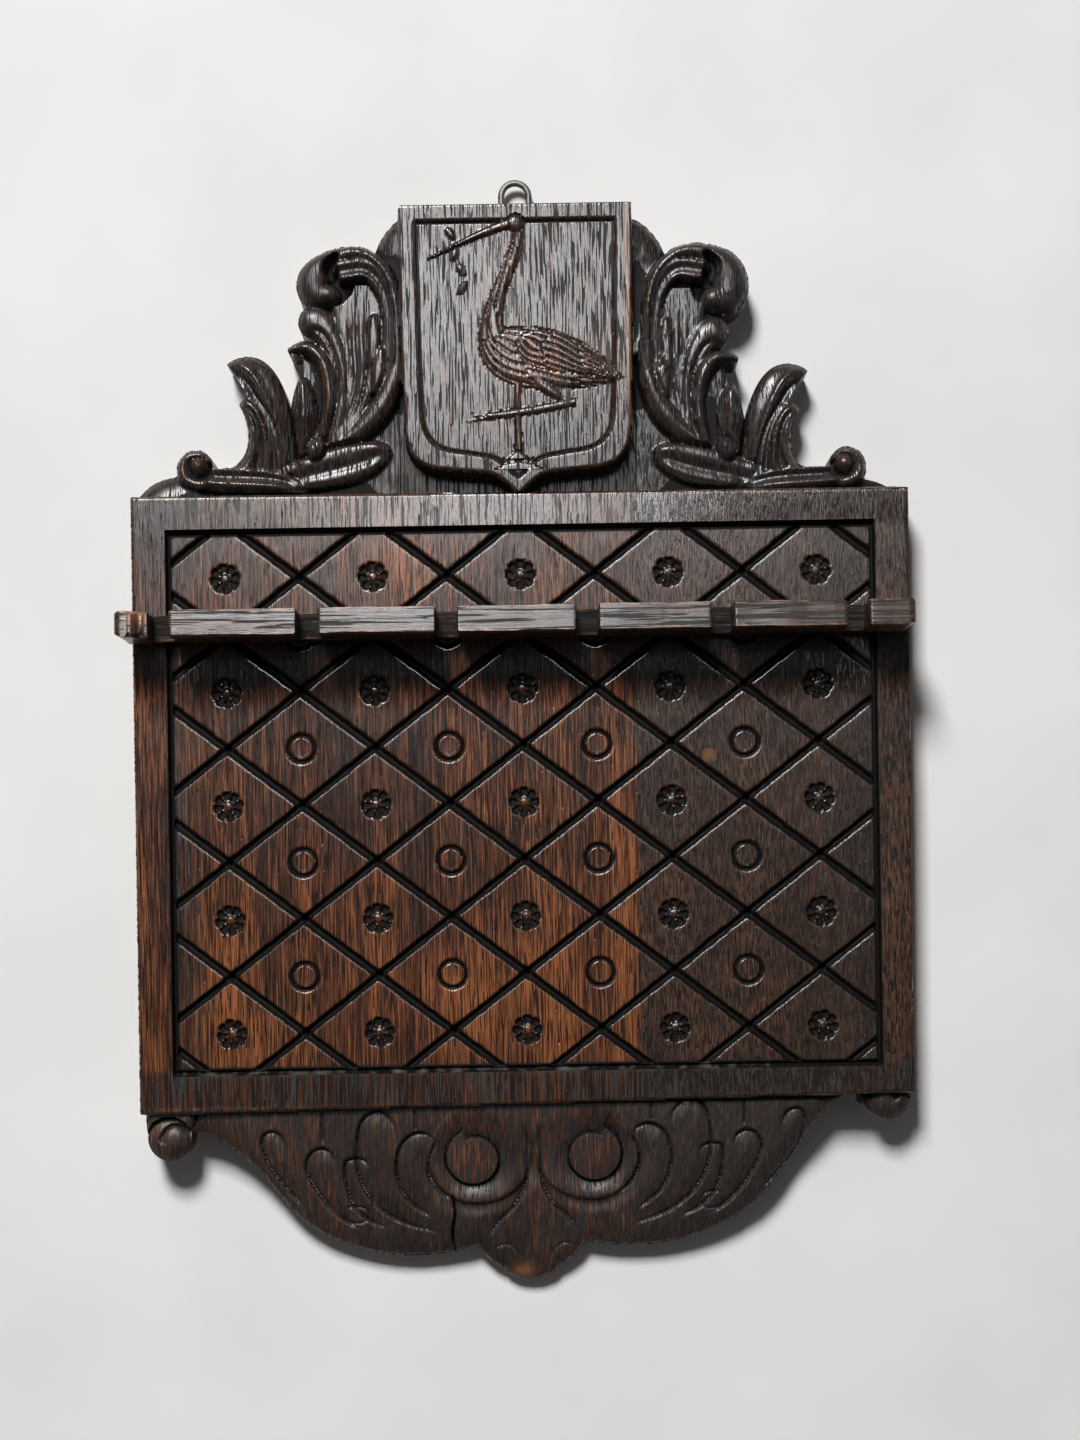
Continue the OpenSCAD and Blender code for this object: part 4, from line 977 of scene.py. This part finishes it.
def oak(name, grain, seed, dark, mid, pale, worn, figure=(0.5, 20), pores=(0.6, 13), rough=0.19, least=0.56):
    """Old stained oak. figure and pores are the widths and lengths of its streaks and open pores, and least is the
    noise at which a pore opens. On the boards these are ray times as deep as wide, to stay long on sloping faces."""
    s = shade(name)
    shift = (seed * 3.1, seed * 1.7, seed * 5.3)
    ray = 4.0 if grain == "z" else 1.0

    def grained(wide, long, detail, roughness, ray=1.0):
        size = (wide, ray * wide, long)
        return s.noise(size if grain == "z" else size[::-1], detail, roughness, shift)

    streak, vessel = grained(*figure, 3, 0.6, ray), grained(*pores, 1, 0.5, ray)
    broad, fine = grained(14, 240, 3, 0.55), grained(0.3, 4, 2, 0.6)
    patch = s.noise((30, 30, 48), 3, 0.5, shift)
    spot = s.noise((5, 5, 12), 3, 0.6, shift)
    dents = s.noise((7, 7, 18), 2, 0.5, shift)
    warm, dim, hollow, dull = map(s.value, ("warm", "dim", "hollow", "dull"))
    bold = s.math("ADD", s.span(broad, 0.4, 0.6, -0.03, 0.03), s.span(dim, 0, 1, -0.012, 0.018))
    pore = s.span(s.math("ADD", vessel, bold), least, least + 0.035)
    tone = s.total((streak, 0.6), (broad, 0.28), (patch, 0.24), (warm, 0.09))
    base = s.mix(s.span(tone, 0.5, 0.58), dark, mid)
    base = s.mix(s.span(tone, 0.59, 0.71), base, pale)
    base = s.mix(s.times(dim, s.span(streak, 0.45, 0.65, 0.97, 0.65)), base, STAIN)
    wear = s.times(s.value("wear"), s.span(spot, 0.42, 0.62, 0, 0.55))
    if grain == "x":
        # The rail: worn along its arrises, painted darker behind its front where the slots lie in shade, with grime
        # there too, and cracked
        arris = s.math("ABSOLUTE", s.math("SUBTRACT", s.along("Z"), RAIL_MID / 1000))
        arris = s.span(s.math("ADD", arris, s.span(spot, 0.3, 0.7, -0.0014, 0.0011)), 0.0041, 0.0049)
        wear = s.times(arris, 0.9)
        hollow = s.math("MAXIMUM", hollow, s.span(s.along("Y"), -0.0403, -0.037, 0, 0.42))
        crack = s.noise((55, 3, 1.3), 2, 0.6, (4, 2, 7))
        pore = s.math("MAXIMUM", pore, s.span(crack, 0.585, 0.605))
    base = s.mix(wear, base, worn)
    base = s.mix(s.times(pore, 0.9), base, SOOT)
    # Hollows painted near black: grime, and painted shade.
    base = s.mix(s.span(hollow, 0.06, 0.6, 0, 0.96), base, GRIME_AND_SHADE)
    base = s.mix(s.times(s.value("bare"), s.span(spot, 0.35, 0.55, 0.5, 1.0)), base, worn)
    # The pale line along the field's lower rim: dust, with a painted highlight.
    base = s.mix(s.times(s.value("dust_and_highlight"), s.span(spot, 0.45, 0.7, 0.05, 0.5)), base, DUST_AND_HIGHLIGHT)
    matt = s.total((s.span(streak, 0.3, 0.7, rough, rough + 0.09), 1.0), (dull, 0.25), (hollow, 0.1),
                   (pore, 0.5 if grain == "x" else s.times(dim, 0.6)))
    grainy = s.total((s.math("ADD", fine, streak), 0.3), (pore, -1.0), (dents, 0.7))
    return s.shaded({"Base Color": base, "Roughness": matt, "Specular IOR Level": 0.7,
                     "Normal": s.bump(grainy, 0.6, 0.35)})


def dirt_and_shade(name):
    """The dull near-black of the deepest cuts and hollows: grime, and painted shade."""
    s = shade(name)
    crumb = s.noise((0.7, 0.7, 0.7), 3, 0.6)
    spot = s.noise((6, 6, 6), 2, 0.5)
    base = s.mix(s.span(crumb, 0.4, 0.7), (0.0035, 0.0028, 0.0025), (0.012, 0.0095, 0.008))
    # The pale line along the field's lower rim: dust, with a painted highlight.
    base = s.mix(s.times(s.value("dust_and_highlight"), s.span(spot, 0.45, 0.7, 0.0, 0.35)), base, DUST_AND_HIGHLIGHT)
    return s.shaded({"Base Color": base, "Roughness": s.span(crumb, 0.3, 0.7, 0.45, 0.75),
                     "Specular IOR Level": 0.12, "Normal": s.bump(crumb, 0.4, 0.2)})


def bare_wood(name):
    s = shade(name)
    streak = s.noise((20, 0.8, 0.8), 4, 0.6)
    base = s.mix(s.span(streak, 0.35, 0.65), (0.36, 0.24, 0.12), (0.55, 0.4, 0.22))
    return s.shaded({"Base Color": base, "Roughness": s.span(streak, 0.3, 0.7, 0.55, 0.75),
                     "Normal": s.bump(streak, 0.3, 0.2)})


def iron(name):
    s = shade(name)
    mottle = s.noise((3, 3, 3), 4, 0.65)
    speck = s.noise((0.5, 0.5, 0.5), 3, 0.6)
    base = s.mix(s.span(mottle, 0.4, 0.62), (0.1, 0.1, 0.098), (0.19, 0.18, 0.17))
    base = s.mix(s.span(speck, 0.58, 0.7, 0, 0.6), base, (0.09, 0.05, 0.03))
    return s.shaded({"Base Color": base, "Roughness": s.span(mottle, 0.3, 0.7, 0.38, 0.6), "Metallic": 0.85,
                     "Normal": s.bump(speck, 0.35, 0.15)})


# Pieces
LEFT_OAK = oak("oak_left", "z", 1, (0.021, 0.0094, 0.0062), (0.08, 0.0265, 0.0115), (0.31, 0.1, 0.032),
               (0.28, 0.11, 0.042))
RIGHT_OAK = oak("oak_right", "z", 5, (0.022, 0.0125, 0.009), (0.05, 0.025, 0.0165), (0.12, 0.055, 0.03),
                (0.26, 0.11, 0.045), (0.6, 6), (0.55, 5), 0.21)
RAIL_OAK = oak("oak_rail", "x", 9, (0.02, 0.0125, 0.01), (0.05, 0.026, 0.0175), (0.11, 0.052, 0.03),
               (0.32, 0.125, 0.045), (1.6, 70), (0.8, 45), 0.22, 0.6)
# The first of these paints near-black into the deepest hollows: grime, and painted shade.
DIRT_AND_SHADE, IRON, DOWEL_WOOD = dirt_and_shade("dirt_and_shade"), iron("iron"), bare_wood("dowel_wood")


def dress(piece, node, material):
    piece.data.materials.append(material)
    piece.data.materials.append(DIRT_AND_SHADE)
    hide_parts(node)
    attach(piece, "rack")


board_left, board_right = boards()
dress(board_left, "back_board_left", LEFT_OAK)
dress(board_right, "back_board_right", RIGHT_OAK)
dress(rail(), "spoon_rail", RAIL_OAK)

for node in ("rail_screws", "hanger_loop", "hanger_strap", "hanger_screws", "edge_dowels"):
    materials = frame["nodes"][node].data.materials
    materials.clear()
    materials.append(DOWEL_WOOD if node == "edge_dowels" else IRON)


# Stage: a pale sheet that the rack lies against, seen from its front only, soft lamps, and the camera, with its place
# in metres, tilt in degrees, lens in millimetres and shift in parts of 1440
CAMERA_AT, CAMERA_TILT, CAMERA_LENS, CAMERA_SHIFT = (0.01041, -0.829, -0.04886), 0.92, 52.46, (-13, 208)


def sheet_material():
    s = shade("pale_cloth")
    tone = s.math("ADD", s.noise((90, 90, 90), 3, 0.5), s.span(s.along("Z"), -0.3, 0.4, 0.5, -0.6))
    s.shaded({"Base Color": s.mix(tone, (0.75, 0.745, 0.73), (0.93, 0.925, 0.905)), "Roughness": 0.9})
    behind = s.node("NewGeometry").outputs["Backfacing"]
    open_to = s.math("MAXIMUM", behind, s.node("LightPath").outputs["Is Shadow Ray"])
    s.show(open_to, s.tree.nodes["Principled BSDF"], s.node("BsdfTransparent"), "Material Output")
    return s.owner


def backdrop():
    mesh = bpy.data.meshes.new("pale_sheet")
    half, y = 1.6, 0.0012
    mesh.from_pydata([(-half, y, -half), (half, y, -half), (half, y, half), (-half, y, half)], [], [[0, 1, 2, 3]])
    mesh.materials.append(sheet_material())
    sheet = linked("pale_sheet", mesh)


def lamp(name, at, target, size, power):
    data = bpy.data.lights.new(name, "AREA")
    data.shape = "RECTANGLE"
    data.size, data.size_y = size
    data.energy = power
    lamp_object = linked(name, data)
    turn = (Vector(target) - Vector(at)).to_track_quat("-Z", "Y")
    lamp_object.matrix_world = Matrix.LocRotScale(at, turn, None)
    return lamp_object


def world():
    """A dim room, which the camera alone sees as a pale one."""
    s = Shade(bpy.data.worlds.new("pale_room"))
    bpy.context.scene.world = s.owner
    dim = s.tree.nodes["Background"]
    s.put(dim.inputs["Color"], (0.06, 0.06, 0.06))
    pale = s.node("Background", {"Color": (0.8, 0.8, 0.79)})
    s.show(s.node("LightPath").outputs["Is Camera Ray"], dim, pale, "World Output")


def camera():
    tilt = math.radians(CAMERA_TILT)
    data = bpy.data.cameras.new("camera")
    data.lens = CAMERA_LENS
    data.shift_x, data.shift_y = (shift / 1440 for shift in CAMERA_SHIFT)
    data.clip_start = 0.05
    cam = linked("camera", data)
    c, s = math.cos(tilt), math.sin(tilt)
    cam.matrix_world = Matrix.Translation(CAMERA_AT) @ Matrix(((c, s, 0), (0, 0, -1), (-s, c, 0))).to_4x4()
    bpy.context.scene.camera = cam


backdrop()
lamp("key", (-0.55, -2.0, 1.8), (0, 0, 0.03), (0.6, 0.7), 86)
sheen = lamp("sheen", (-0.16, -1.62, 0.68), (0, 0, 0.15), (0.7, 0.4), 11.5)
sheen.visible_diffuse = False
lamp("behind", (0.5, 1.6, 1.2), (0, 0, 0.03), (1.6, 1.2), 34)
world()
camera()
bpy.context.scene.view_settings.view_transform = "Standard"
